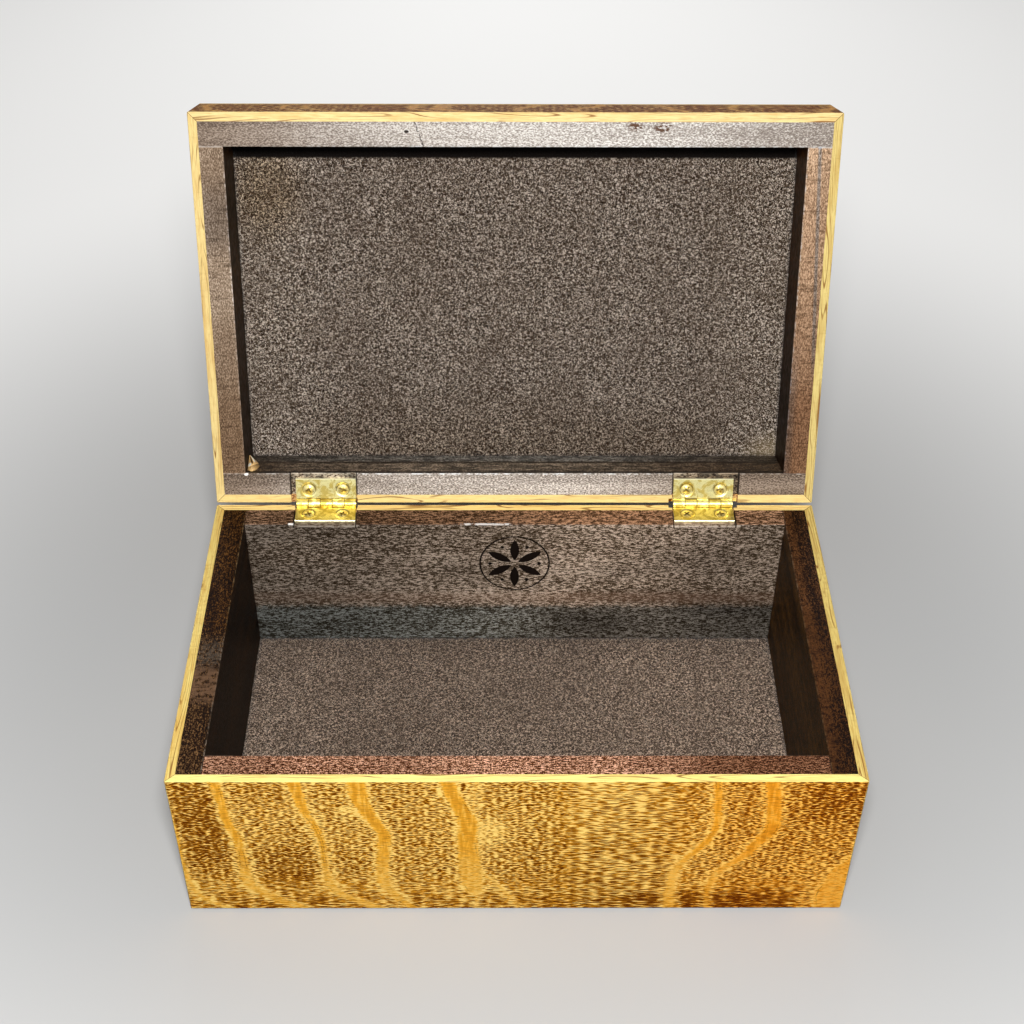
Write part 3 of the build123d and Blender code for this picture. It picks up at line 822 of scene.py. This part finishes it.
def lining_details(w, name, half, where, place, colour):
    """All that lies over the plain wood of a lining."""
    at = LiningPlace(w, place, half, where)
    colour = arris_wear_and_highlight(w, at, half, where, colour)
    if where == "rear":
        colour = mortises(w, at, half, colour)
    if name in early_details:
        colour = early_details[name](w, at, colour)
    # Tones change along the board; on the lid's front and rear linings this paints a sheen in the middle
    if name in sheen_and_tone_along:
        dull, pale_factors, points = sheen_and_tone_along[name]
        shares = [(0.5 + spot / tone_span, share) for spot, share in points]
        along = w.plus(w.math("DIVIDE", at.along, tone_span), 0.5)
        colour = w.shaded(1.0, colour, w.mix(curve_of(w, along, shares), dull, pale_factors))
    if name in painted_inner_shade:
        # The faces that look into the box get painted shade, streaked along the grain
        stretch = (0.22, 0.5, 0.5) if where == "rear" else (0.5, 0.22, 0.5)
        streaks = w.ramp(w.grain(place, stretch, 3.0, 0.6), 0.38, 0.62)
        uneven = w.mix(streaks, (0.45, 0.45, 0.45), (1.75, 1.72, 1.68))
        inside = w.shaded(1.0, w.shaded(1.0, colour, painted_inner_shade[name]), uneven)
        colour = w.mix(w.ramp(at.depth, 0.5, 1.2), colour, inside)
    if where in ("left", "right"):
        stains = w.ramp(w.grain(place, (0.10, 0.85, 0.10), 3.0, 0.65), 0.50, 0.70, 0.0, 0.9)
        colour = w.shaded(stains, colour, (0.42, 0.39, 0.36))
    if name in late_details:
        colour = late_details[name](w, at, colour)
    return colour


def lining_material(name, half, where, seed, tones, speckle, contrast, bands, gloss):
    """One lining board: its own wood, and what lies over it."""
    material, w, shader = new_material(name, {"Specular IOR Level": gloss})
    place = closed_place(w, half)
    board = along_board(w, place, board_ways[where])
    stretch = {"lid": (1.0, 1.0, 0.35), "base": (1.5, 1.0, 1.12)}[half]
    grain = w.moved(board, location=(seed * 2.3, seed, seed * 0.7), scale=stretch)
    dark, mid, light = tones
    wood = w.effect(
        "lining_wood", place=grain, dark=dark, mid=mid, light=light, speckle=speckle,
        contrast=contrast, bands=bands,
    )
    w.feed(shader["Base Color"], lining_details(w, name, half, where, place, wood["Colour"]))
    w.feed(shader["Roughness"], wood["Roughness"])
    bumped(w, shader, wood["Height"])
    return material


def plain_board_material():
    """The board that carries the linings, a plain brown wood."""
    material, w, shader = new_material("plain_board")
    wood = w.effect(
        "lining_wood", place=closed_place(w, "base"), dark=(0.30, 0.20, 0.11), mid=(0.42, 0.30, 0.18),
        light=(0.5, 0.4, 0.28), speckle=0.3,
    )
    w.feed(shader["Base Color"], wood["Colour"])
    w.feed(shader["Roughness"], wood["Roughness"])
    bumped(w, shader, wood["Height"])
    return material


# How far the painted shadow of the lid's front lining reaches over the felt
lining_shadow_end = -inner_half_depth + 7.2


def painted_lining_shadow(w, half, y, colour):
    """The lid's felt is painted black along the front lining, a painted shadow that the lining casts."""
    if half != "lid":
        return colour
    return w.mix(w.ramp(y, lining_shadow_end + 0.5, lining_shadow_end - 0.5), colour, char_black)


def lid_felt_shades(w, x, y, colour):
    """Tan towards two of its corners, paler along its sides and darker along the hinges."""
    corner = w.ramp(w.spot(x, y, (112.0, 65.0), (16.0, 12.0)), 1.2, 0.2)
    colour = w.mix(w.product(corner, 0.4), colour, (0.26, 0.19, 0.10))
    browned = w.ramp(w.spot(x, y, (-100.0, -45.0), (20.0, 26.0)), 1.1, 0.2)
    colour = w.shaded(browned, colour, (0.84, 0.76, 0.62))
    aside = w.size(x)
    colour = w.shaded(w.ramp(aside, 72.0, 102.0), colour, (1.16, 1.17, 1.16))
    by_hinges = w.product(w.ramp(y, 28.0, 62.0), w.ramp(aside, 98.0, 74.0))
    return w.shaded(by_hinges, colour, (0.80, 0.76, 0.70))


def base_felt_shades(w, x, y, colour):
    """Darker at the back and left of the middle, and paler on the right."""
    left_spot = w.ramp(w.spot(x, y, (-50.0, 5.0), (44.0, 90.0)), 1.2, 0.2)
    for share, factor in (
        (w.ramp(y, 44.0, 64.0), (0.80, 0.79, 0.78)), (left_spot, (0.88, 0.87, 0.86)),
        (w.ramp(x, 22.0, 50.0), (1.14, 1.14, 1.14)),
    ):
        colour = w.shaded(share, colour, factor)
    return colour


def felt_material(name, half, dark, mid, light):
    """A sheet of heathered felt, with its shades."""
    material, w, shader = new_material(
        name,
        {"Roughness": 0.95, "Specular IOR Level": 0.05, "Sheen Weight": 0.12, "Sheen Roughness": 0.5},
    )
    place = closed_place(w, half)
    felt = w.effect("heathered_felt", place=place, dark=dark, mid=mid, light=light)
    colour = felt["Colour"]
    x, y, _ = w.parts(place)
    if name == "lid_felt":
        colour = lid_felt_shades(w, x, y, colour)
    if name == "base_felt":
        colour = base_felt_shades(w, x, y, colour)
    w.feed(shader["Base Color"], painted_lining_shadow(w, half, y, colour))
    bumped(w, shader, felt["Height"])
    return material


def nap_material(name, half, dark, light):
    """The loose fibres: each has its own shade, from its tone attribute."""
    material, w, shader = new_material(name, {"Roughness": 0.8, "Specular IOR Level": 0.10})
    tone = w.node("ShaderNodeAttribute", attribute_name="tone").outputs["Fac"]
    colour = w.mix(w.ramp(tone, 0.0, 1.0), dark, light)
    _, y, _ = w.parts(closed_place(w, half))
    # Under the lid's front lining the nap gets the same painted shadow
    w.feed(shader["Base Color"], painted_lining_shadow(w, half, y, colour))
    return material


# The hinge: its screws' heads, its knuckles, and how far its barrel and the leaves' notches reach
# from the axis
screw_head_radius = 2.5
knuckle_count = 5
barrel_radius = 1.9
notch_reach = 2.2


def from_screws(w, side, half, x, y):
    """The distance from the centre of each of the two countersunk heads in a leaf."""
    low, high = closed_box(f"{side}_{half}_leaf_screws")
    for centre_x in (low.x + screw_head_radius, high.x - screw_head_radius):
        yield w.spot(x, y, (centre_x, (low.y + high.y) / 2), (1.0, 1.0))


def screw_grime(w, side, half, x, y):
    """A thin dark ring round each head."""
    rings = 0.0
    for away in from_screws(w, side, half, x, y):
        rings = w.most(rings, w.ramp(w.apart(away, screw_head_radius + 0.1), 0.26, 0.08))
    return rings


def screw_relief(w, side, half, x, y):
    """The dished rim of each countersink and the domed head in it, in millimetres."""
    height = 0.0
    for away in from_screws(w, side, half, x, y):
        dish = w.ramp(away, screw_head_radius + 0.9, screw_head_radius - 0.3, 0.0, -0.28)
        dome = w.ramp(away, screw_head_radius - 0.2, 0.0, 0.0, 0.42)
        height = w.plus(height, w.plus(dish, dome))
    return height


def knuckle_grime(w, side, x, y):
    """Dark joints between the knuckles, and broken dark lines where the leaves meet the barrel."""
    low, high = leaf_boxes[side]
    from_axis = w.apart(y, axis_point.y)
    grime = w.ramp(w.apart(from_axis, notch_reach), 0.34, 0.12)
    pitch = (high.x - low.x) / knuckle_count
    along = w.math("DIVIDE", w.less(x, low.x), pitch)
    nearest = w.apart(along, w.math("ROUND", along))
    every_other = w.math("PINGPONG", w.math("FLOOR", along), 1.0)
    grime = w.product(grime, w.ramp(every_other, 0.0, 1.0, 0.35, 1.0))
    joint = w.product(w.ramp(nearest, 0.05, 0.02), w.ramp(from_axis, notch_reach, barrel_radius))
    return w.most(grime, joint)


def brass_material(name, half, bright, dull):
    """A hinge's brass, with the grime round its heads and knuckles and a painted highlight along each
    leaf's free edge.
    """
    material, w, shader = new_material(name, {"Metallic": 1.0})
    place = closed_place(w, half)
    brass = w.effect("worn_brass", place=place, bright=bright, dull=dull)
    colour = brass["Colour"]
    height = brass["Height"]
    x, y, z = w.parts(place)
    grime = (0.16, 0.10, 0.02)
    side = name.split("_")[0]
    if "screws" in name:
        low, high = closed_box(name)
        sunk = w.less(high.z, z) if half == "base" else w.less(z, low.z)
        colour = w.mix(w.product(w.ramp(sunk, 0.08, 0.3), 0.6), colour, grime)
    elif name.endswith("leaf"):
        colour = w.mix(w.product(screw_grime(w, side, half, x, y), 0.75), colour, grime)
        colour = w.mix(w.product(knuckle_grime(w, side, x, y), 0.85), colour, grime)
        # A painted highlight along the leaf's free edge
        glint_edge_distance = w.less(y, leaf_boxes[side][0].y)
        colour = w.mix(w.ramp(glint_edge_distance, 0.34, 0.2), colour, (1.0, 0.94, 0.62))
    if "pin" not in name:
        height = w.plus(height, screw_relief(w, side, half, x, y))
    w.feed(shader["Base Color"], colour)
    w.feed(shader["Roughness"], brass["Roughness"])
    bumped(w, shader, height)
    return material


def dress(name, material):
    """Gives a CAD node its material."""
    for slot in nodes[name].material_slots:
        slot.material = material


# The oak boards, each with its own stretch of grain
board_ways = {"front": "across", "rear": "across", "left": "side", "right": "side"}
for half, first_seed in (("base", 0), ("lid", 500)):
    for number, (where, way) in enumerate(board_ways.items()):
        name = f"{half}_{where}_panel"
        dress(name, oak_material(name, half, way, first_seed + 137 * number))
dress("lid_top_panel", oak_material("lid_top_panel", "lid", "top", 911))

# The linings, each cut from its own board: dark, mid and light tones, and then speckle, contrast,
# bands and gloss
lining_woods = {
    "base_front_lining": (
        ((0.025, 0.003, 0.0), (0.155, 0.056, 0.019), (0.66, 0.36, 0.22)), 0.5, 1.6, 0.08, 0.06,
    ),
    "base_rear_lining": (
        ((0.026, 0.016, 0.008), (0.120, 0.090, 0.063), (0.40, 0.330, 0.27)), 0.4, 1.5, 0.12, 0.05,
    ),
    "base_left_lining": (
        ((0.004, 0.001, 0.0), (0.027, 0.011, 0.0035), (0.17, 0.088, 0.035)), 0.6, 1.3, 0.30, 0.05,
    ),
    "base_right_lining": (
        ((0.004, 0.001, 0.0), (0.028, 0.010, 0.003), (0.15, 0.062, 0.025)), 0.6, 1.3, 0.30, 0.05,
    ),
    "lid_front_lining": (
        ((0.135, 0.100, 0.078), (0.265, 0.210, 0.168), (0.46, 0.39, 0.33)), 0.8, 1.0, 0.30, 0.12,
    ),
    "lid_rear_lining": (
        ((0.080, 0.058, 0.042), (0.21, 0.158, 0.120), (0.44, 0.36, 0.29)), 0.8, 1.0, 0.30, 0.12,
    ),
    "lid_left_lining": (
        ((0.100, 0.068, 0.044), (0.205, 0.150, 0.104), (0.37, 0.295, 0.225)), 0.9, 0.8, 0.20, 0.06,
    ),
    "lid_right_lining": (
        ((0.150, 0.085, 0.045), (0.325, 0.208, 0.125), (0.56, 0.385, 0.245)), 0.9, 0.8, 0.15, 0.06,
    ),
}
for number, (name, wood) in enumerate(lining_woods.items()):
    half, where, _ = name.split("_")
    dress(name, lining_material(name, half, where, 61.0 * (number + 1), *wood))
dress("base_bottom_board", plain_board_material())

# The brass, bright and dull: the screws, and then each half's leaves and the pins
screw_tones = ((0.96, 0.82, 0.36), (0.62, 0.46, 0.12))
leaf_tones = {
    "base": ((0.84, 0.70, 0.24), (0.48, 0.35, 0.06)),
    "lid": ((1.0, 0.90, 0.42), (0.55, 0.41, 0.09)),
}
for name, node in nodes.items():
    half = node["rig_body"]
    if "screws" in name:
        dress(name, brass_material(name, half, *screw_tones))
    elif "leaf" in name or "pin" in name:
        dress(name, brass_material(name, half, *leaf_tones[half]))


# Felt

def placed(name, half, data):
    """A piece from a mesh in the frame's place, riding on its half."""
    piece = bpy.data.objects.new(name, data)
    bpy.context.scene.collection.objects.link(piece)
    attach(piece, half)
    return piece


def finished(name, half, mesh):
    """A piece from a bmesh made in millimetres with the lid closed, put in its place."""
    if half == "lid":
        bmesh.ops.transform(mesh, matrix=closed_to_open, verts=mesh.verts)
    bmesh.ops.scale(mesh, vec=(MM,) * 3, verts=mesh.verts)
    data = bpy.data.meshes.new(name)
    mesh.to_mesh(data)
    mesh.free()
    for polygon in data.polygons:
        polygon.use_smooth = True
    return placed(name, half, data)


def felt_top(size, top, cell, lump, roll_depth, face_up, seed):
    """The visible side of a sheet of felt: a grid with soft lumps and rolled edges."""
    width, depth = size
    mesh = bmesh.new()
    bmesh.ops.create_grid(
        mesh, x_segments=round(width / cell), y_segments=round(depth / cell), size=0.5
    )
    for vert in mesh.verts:
        x, y = vert.co.x * width, vert.co.y * depth
        edge = min(width / 2 - abs(x), depth / 2 - abs(y))
        roll = roll_depth * max(0.0, 1 - edge / 1.2) ** 2
        spot = Vector((x, y, seed))
        wave = noise.noise(spot * 0.33) * 0.6 + noise.noise(spot * 0.08)
        vert.co = (x, y, top + (lump * (wave - 1) - roll) * face_up)
    if face_up < 0:
        bmesh.ops.reverse_faces(mesh, faces=mesh.faces)
    return mesh


def carry_edges(mesh, height):
    """Carries a sheet's open edges up or down to a height, in the same order on every run."""
    border = [edge.link_loops[0] for edge in mesh.edges if edge.is_boundary]
    carried = {}
    for vert in [loop.vert for loop in border]:
        carried[vert] = mesh.verts.new((vert.co.x, vert.co.y, height))
    for first, second in [(loop.link_loop_next.vert, loop.vert) for loop in border]:
        mesh.faces.new((first, second, carried[second], carried[first]))
    mesh.normal_update()


def felt_sheet(name, half, mesh, underside):
    """A whole sheet of felt: the top with its sides carried down and a plain underside."""
    carry_edges(mesh, underside)
    bmesh.ops.contextual_create(mesh, geom=[edge for edge in mesh.edges if edge.is_boundary])
    bmesh.ops.recalc_face_normals(mesh, faces=mesh.faces)
    return finished(name, half, mesh)


def make_nap_tree():
    """Loose fibres over a surface: short bent hairs, each turned and sized by chance."""
    tree = bpy.data.node_groups.new("felt_nap", "GeometryNodeTree")
    sockets = {
        "Geometry": "NodeSocketGeometry", "Density": "NodeSocketFloat", "Length": "NodeSocketFloat",
        "Thickness": "NodeSocketFloat", "Rise": "NodeSocketFloat", "Seed": "NodeSocketInt",
        "Material": "NodeSocketMaterial",
    }
    for label, kind in sockets.items():
        tree.interface.new_socket(label, in_out="INPUT", socket_type=kind)
    tree.interface.new_socket("Geometry", in_out="OUTPUT", socket_type="NodeSocketGeometry")
    w = Wiring(tree)
    given = w.node("NodeGroupInput").outputs

    def point(**parts):
        return w.node("ShaderNodeCombineXYZ", parts).outputs[0]

    def by_chance(low, high):
        """A random value or vector for each fibre."""
        kind, first = ("FLOAT_VECTOR", 0) if isinstance(low, tuple) else ("FLOAT", 2)
        made = w.node("FunctionNodeRandomValue", {"Seed": given["Seed"]}, data_type=kind)
        made.inputs[first].default_value = low
        made.inputs[first + 1].default_value = high
        return made.outputs[first // 2]

    scatter = w.node(
        "GeometryNodeDistributePointsOnFaces",
        {"Mesh": given["Geometry"], "Density": given["Density"], "Seed": given["Seed"]},
    )
    half_length = w.product(given["Length"], 0.55)
    hair = w.node(
        "GeometryNodeCurveQuadraticBezier",
        {
            "Resolution": 3,
            "Start": point(Z=w.product(given["Rise"], -0.3)),
            "Middle": point(X=half_length, Z=given["Rise"]),
            "End": point(X=given["Length"], Y=half_length, Z=w.product(given["Rise"], 0.2)),
        },
    )
    section = w.node(
        "GeometryNodeCurvePrimitiveCircle",
        {"Resolution": 3, "Radius": w.product(given["Thickness"], 0.5)},
    )
    tube = w.node(
        "GeometryNodeCurveToMesh",
        {"Curve": hair.outputs[0], "Profile Curve": section.outputs[0], "Fill Caps": True},
    )
    turn = w.node(
        "FunctionNodeRotateRotation",
        {
            "Rotation": scatter.outputs["Rotation"],
            "Rotate By": by_chance((-0.35, -0.35, 0.0), (0.35, 0.35, 2 * math.pi)),
        },
        rotation_space="LOCAL",
    )
    hairs = w.node(
        "GeometryNodeInstanceOnPoints",
        {
            "Points": scatter.outputs["Points"], "Instance": tube.outputs[0],
            "Rotation": turn.outputs[0], "Scale": by_chance(0.5, 1.3),
        },
    )
    toned = w.node(
        "GeometryNodeStoreNamedAttribute",
        {"Geometry": hairs.outputs[0], "Name": "tone", "Value": by_chance(0.0, 1.0)},
        data_type="FLOAT", domain="INSTANCE",
    )
    whole = w.node("GeometryNodeRealizeInstances", {"Geometry": toned.outputs[0]})
    coloured = w.node(
        "GeometryNodeSetMaterial", {"Geometry": whole.outputs[0], "Material": given["Material"]}
    )
    w.node("NodeGroupOutput", {"Geometry": coloured.outputs[0]})
    return tree


nap_tree = make_nap_tree()


def nap_on(name, half, surface, material, **sizes):
    """Grows the nap on a surface given in millimetres with the lid closed, as a mesh of its own."""
    ground = bpy.data.meshes.new("nap_ground")
    surface.to_mesh(ground)
    surface.free()
    grower = bpy.data.objects.new("nap_ground", ground)
    bpy.context.scene.collection.objects.link(grower)
    modifier = grower.modifiers.new("nap", "NODES")
    modifier.node_group = nap_tree
    identifiers = {
        item.name: item.identifier for item in nap_tree.interface.items_tree if item.in_out == "INPUT"
    }
    for label, value in {**sizes, "material": material}.items():
        modifier[identifiers[label.capitalize()]] = value
    evaluated = grower.evaluated_get(bpy.context.evaluated_depsgraph_get())
    grown = bpy.data.meshes.new_from_object(evaluated)
    bpy.data.objects.remove(grower)
    if half == "lid":
        grown.transform(closed_to_open)
    grown.transform(Matrix.Scale(MM, 4))
    grown.name = name
    return placed(name, half, grown)


# The felts: the gap round them, their lumps and the cell of their grid, their tones and their nap
edge_gap = 0.06
felt_size = (2 * (inner_half_width - edge_gap), 2 * (inner_half_depth - edge_gap))
felt_cell = 1.6
felt_lump = 0.12
felt_roll = 0.25 * felt_thickness
felt_tones = {
    "base": ((0.012, 0.005, 0.002), (0.070, 0.043, 0.025), (0.53, 0.39, 0.285)),
    "lid": ((0.006, 0.002, 0.0), (0.060, 0.038, 0.023), (0.50, 0.42, 0.35)),
}
nap_tones = ((0.012, 0.007, 0.004), (0.48, 0.39, 0.31))
nap_sizes = {"density": 0.335, "length": 1.7, "thickness": 0.10, "rise": 0.55}


def lined_with_felt(half, name, top, underside, face_up, seed, node):
    """The felt on the floor or under the lid's top, with its nap."""
    grid = felt_top(felt_size, top, felt_cell, felt_lump, felt_roll, face_up, seed)
    fibres = nap_material(f"{name}_nap", half, *nap_tones)
    nap = nap_on(f"{name}_nap", half, grid.copy(), fibres, seed=int(seed), **nap_sizes)
    sheet = felt_sheet(f"{name}_sheet", half, grid, underside)
    sheet.data.materials.append(felt_material(name, half, *felt_tones[half]))
    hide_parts(node)


lined_with_felt(
    "base", "base_felt", floor_high.z, floor_low.z, 1, 3.0, "base_floor_felt"
)
lined_with_felt(
    "lid", "lid_felt", lid_under_top - felt_thickness, lid_under_top, -1, 9.0, "lid_felt",
)

# The felt under the foot, with fuzz along its cut edge
foot_size = (foot_high.x - foot_low.x, foot_high.y - foot_low.y)
foot_cell = 2.4
foot_lump = 0.02
foot_roll = 0.1
foot_tones = ((0.010, 0.008, 0.006), (0.035, 0.028, 0.020), (0.12, 0.10, 0.07))
fuzz_tones = ((0.02, 0.016, 0.01), (0.20, 0.17, 0.12))
fuzz_sizes = {"density": 3.2, "length": 0.6, "thickness": 0.07, "rise": 0.4}
fuzz_above_floor = 0.8


def foot_edge():
    """The band of the foot felt's cut edge, all round."""
    mesh = bmesh.new()
    bmesh.ops.create_grid(mesh, x_segments=1, y_segments=1, size=0.5)
    for vert in mesh.verts:
        vert.co = (vert.co.x * foot_size[0], vert.co.y * foot_size[1], foot_low.z + fuzz_above_floor)
    carry_edges(mesh, foot_high.z)
    flat = [face for face in mesh.faces if abs(face.normal.z) > 0.5]
    bmesh.ops.delete(mesh, geom=flat, context="FACES_ONLY")
    for face in mesh.faces:
        if face.normal.dot(face.calc_center_median() * Vector((1, 1, 0))) < 0:
            face.normal_flip()
    return mesh


foot_felt = felt_sheet(
    "foot_felt_sheet", "base",
    felt_top(foot_size, foot_high.z, foot_cell, foot_lump, foot_roll, 1, 5.0), foot_low.z,
)
foot_felt.data.materials.append(felt_material("foot_felt", "base", *foot_tones))
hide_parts("base_foot_felt")
foot_fuzz = nap_on(
    "foot_felt_fuzz", "base", foot_edge(), nap_material("foot_fuzz", "base", *fuzz_tones),
    seed=4, **fuzz_sizes,
)


# A folded leaf of dried glue in the lid's lower left inner corner. Its points are measured from
# where the two linings and the rim meet.
curl_apex = (0.15, -3.85, 13.7)
curl_lip = ((0.25, -0.90, 5.3), (2.7, -2.6, 4.4), (4.5, -1.75, 8.6))
curl_foot = ((0.2, -0.1, 4.8), (3.0, -0.1, 3.0), (4.8, -0.1, 9.2))
curl_outward = Vector((0.45, -0.80, -0.35)).normalized()
curl_thickness = 0.25


def bowed(points, share):
    """A point on the smooth bow through three points."""
    first, middle, last = (Vector(point) for point in points)
    return (
        first * (1 - share) * (1 - 2 * share) + middle * 4 * share * (1 - share)
        + last * share * (2 * share - 1)
    )


def bell(value, middle, spread):
    """A bell curve, one at its middle."""
    return math.exp(-((value - middle) / spread) ** 2)


def corner_curl():
    """The leaf widens from its apex to a folded lip, and turns under to its foot."""
    corner = Vector((-inner_half_width, inner_half_depth, lid_rim_height))
    rows_down, rows_under, columns = 14, 5, 24
    mesh = bmesh.new()
    tone = mesh.verts.layers.float.new("tone")
    grid = []
    for row in range(rows_down + rows_under + 1):
        verts = []
        for column in range(columns + 1):
            share = column / columns
            lip = bowed(curl_lip, share)
            if row <= rows_down:
                down = row / rows_down
                reach = math.sin(math.pi * down)
                ridge = bell(share, 0.72, 0.12) * reach
                fold = bell(share, 0.50, 0.12) * reach
                spot = Vector(curl_apex).lerp(lip, down) + curl_outward * (0.55 * ridge - 0.50 * fold)
                # The tone paints shade into the fold and a highlight on the ridge and near the lip
                bright = bell(share, 0.22, 0.2) * bell(down, 0.88, 0.14)
                shade = 0.46 + 1.0 * ridge - 1.0 * fold + 1.0 * bright
            else:
                under = (row - rows_down) / rows_under
                spot = lip.lerp(bowed(curl_foot, share), under)
                # The part turned under is painted in shade
                shade = 0.10 + 0.30 * under
            vert = mesh.verts.new(corner + spot)
            vert[tone] = shade
            verts.append(vert)
        grid.append(verts)
    for upper, lower in zip(grid, grid[1:]):
        for j in range(columns):
            mesh.faces.new((upper[j], lower[j], lower[j + 1], upper[j + 1]))
    bmesh.ops.remove_doubles(mesh, verts=mesh.verts, dist=0.001)
    return mesh


def glue_material():
    """Amber glue with painted shade in its folds and under its lip and a painted highlight on its ridge,
    from the leaf's tone attribute.
    """
    material, w, shader = new_material("dried_glue", {"Roughness": 0.35, "Specular IOR Level": 0.3})
    tone = w.node("ShaderNodeAttribute", attribute_name="tone").outputs["Fac"]
    streaks = w.grain(closed_place(w, "lid"), (1.2, 1.2, 0.3), 3.0)
    tone = w.plus(tone, w.product(w.less(streaks, 0.5), 0.3))
    colour = w.mix(w.ramp(tone, 0.0, 0.45), (0.05, 0.022, 0.004), (0.80, 0.50, 0.20))
    w.feed(shader["Base Color"], w.mix(w.ramp(tone, 0.6, 1.05), colour, (1.0, 0.95, 0.80)))
    return material


glue_curl = finished("corner_glue_curl", "lid", corner_curl())
glue_curl.data.materials.append(glue_material())
glue_curl.modifiers.new("thickness", "SOLIDIFY").thickness = curl_thickness * MM

# The camera, at the photograph's viewing angle. Its focal length is in pixels of the photograph.
picture_side = 1024
focal_pixels = 1662.1
sensor_width = 36.0
picture_shift = 0.1738
camera_place = Vector((-5.3, -471.1, 512.4)) * MM
camera_down, camera_right, camera_roll = (math.radians(a) for a in (44.977, 0.480, 0.322))
look = Vector((
    math.sin(camera_right) * math.cos(camera_down),
    math.cos(camera_right) * math.cos(camera_down),
    -math.sin(camera_down),
))
level = look.cross(Vector((0, 0, 1))).normalized()
above = level.cross(look)
across = level * math.cos(camera_roll) + above * math.sin(camera_roll)
upward = above * math.cos(camera_roll) - level * math.sin(camera_roll)
camera = bpy.data.objects.new("camera", bpy.data.cameras.new("camera"))
camera.matrix_world = Matrix.Translation(camera_place) @ Matrix(
    (across, upward, -look)
).transposed().to_4x4()
camera.data.sensor_width = sensor_width
camera.data.lens = focal_pixels / picture_side * sensor_width
camera.data.shift_y = picture_shift
bpy.context.scene.collection.objects.link(camera)
bpy.context.scene.camera = camera


# The floor and the light

floor_radius = 6.0
floor_pale = (0.47, 0.47, 0.465)
floor_painted_shadow = (0.03, 0.03, 0.03)
floor_bounce = (0.22, 0.22, 0.22)
floor_glow = (0.50, 0.495, 0.485)
ambient_strength = 0.09
backdrop_strength = 0.85


def seen_by(w):
    """One where the camera or gloss sees the surface, and zero for the light it throws."""
    path = w.node("ShaderNodeLightPath").outputs
    return w.most(path["Is Camera Ray"], path["Is Glossy Ray"])


def make_floor():
    """A pale floor. It is pale to the camera and in gloss, and throws little light back up."""
    mesh = bmesh.new()
    bmesh.ops.create_circle(mesh, cap_ends=True, segments=64, radius=floor_radius)
    data = bpy.data.meshes.new("floor")
    mesh.to_mesh(data)
    mesh.free()
    floor = bpy.data.objects.new("floor", data)
    bpy.context.scene.collection.objects.link(floor)
    material, w, shader = new_material(
        "pale_floor", {"Emission Strength": 1.0, "Specular IOR Level": 0.0, "Roughness": 0.9}
    )
    seen = seen_by(w)
    x, y, _ = w.parts(w.node("ShaderNodeTexCoord").outputs["Object"])
    # The glow fades near the box, which paints a soft shadow round it
    far = w.ramp(w.spot(x, y, (0.0, 0.05), (1.0, 1.0)), 0.15, 0.50)
    # A painted shadow makes it near black right under the open lid, which shows between the two rims
    sheltered = w.node("ShaderNodeAmbientOcclusion", {"Distance": 0.4}, samples=5).outputs["AO"]
    shadow_below_lid = w.product(
        w.ramp(w.size(x), 0.135, 0.115), w.between(y, 0.15, 0.19, 0.012),
        w.ramp(sheltered, 0.74, 0.62),
    )
    pale = w.mix(shadow_below_lid, floor_pale, floor_painted_shadow)
    glow = w.mix(w.product(seen, far), (0.0, 0.0, 0.0), floor_glow)
    w.feed(shader["Base Color"], w.mix(seen, floor_bounce, pale))
    w.feed(shader["Emission Color"], glow)
    data.materials.append(material)


def area_lamp(name, place, target, size, power):
    """A round soft lamp that looks at its target, in metres and watts."""
    lamp = bpy.data.objects.new(name, bpy.data.lights.new(name, "AREA"))
    lamp.data.shape = "DISK"
    lamp.data.size = size
    lamp.data.energy = power
    lamp.location = place
    lamp.rotation_euler = (Vector(target) - Vector(place)).to_track_quat("-Z", "Y").to_euler()
    bpy.context.scene.collection.objects.link(lamp)


make_floor()
area_lamp("key", (0.0, -0.50, 0.63), (0, 0.03, 0.08), 0.12, 7.6)
area_lamp("high", (-0.25, -0.35, 1.5), (0, 0, 0.05), 0.9, 1.3)
area_lamp("rear", (0.0, 0.85, 0.45), (0, 0.1, 0.1), 0.6, 2.2)

world = bpy.data.worlds.new("studio")
world.use_nodes = True
world.node_tree.nodes.clear()
w = Wiring(world.node_tree)
strength = w.plus(ambient_strength, w.product(seen_by(w), backdrop_strength))
background = w.node("ShaderNodeBackground", {"Color": (0.95, 0.97, 1.0), "Strength": strength})
w.node("ShaderNodeOutputWorld", {"Surface": background.outputs[0]})
bpy.context.scene.world = world
bpy.context.scene.view_settings.view_transform = "Standard"
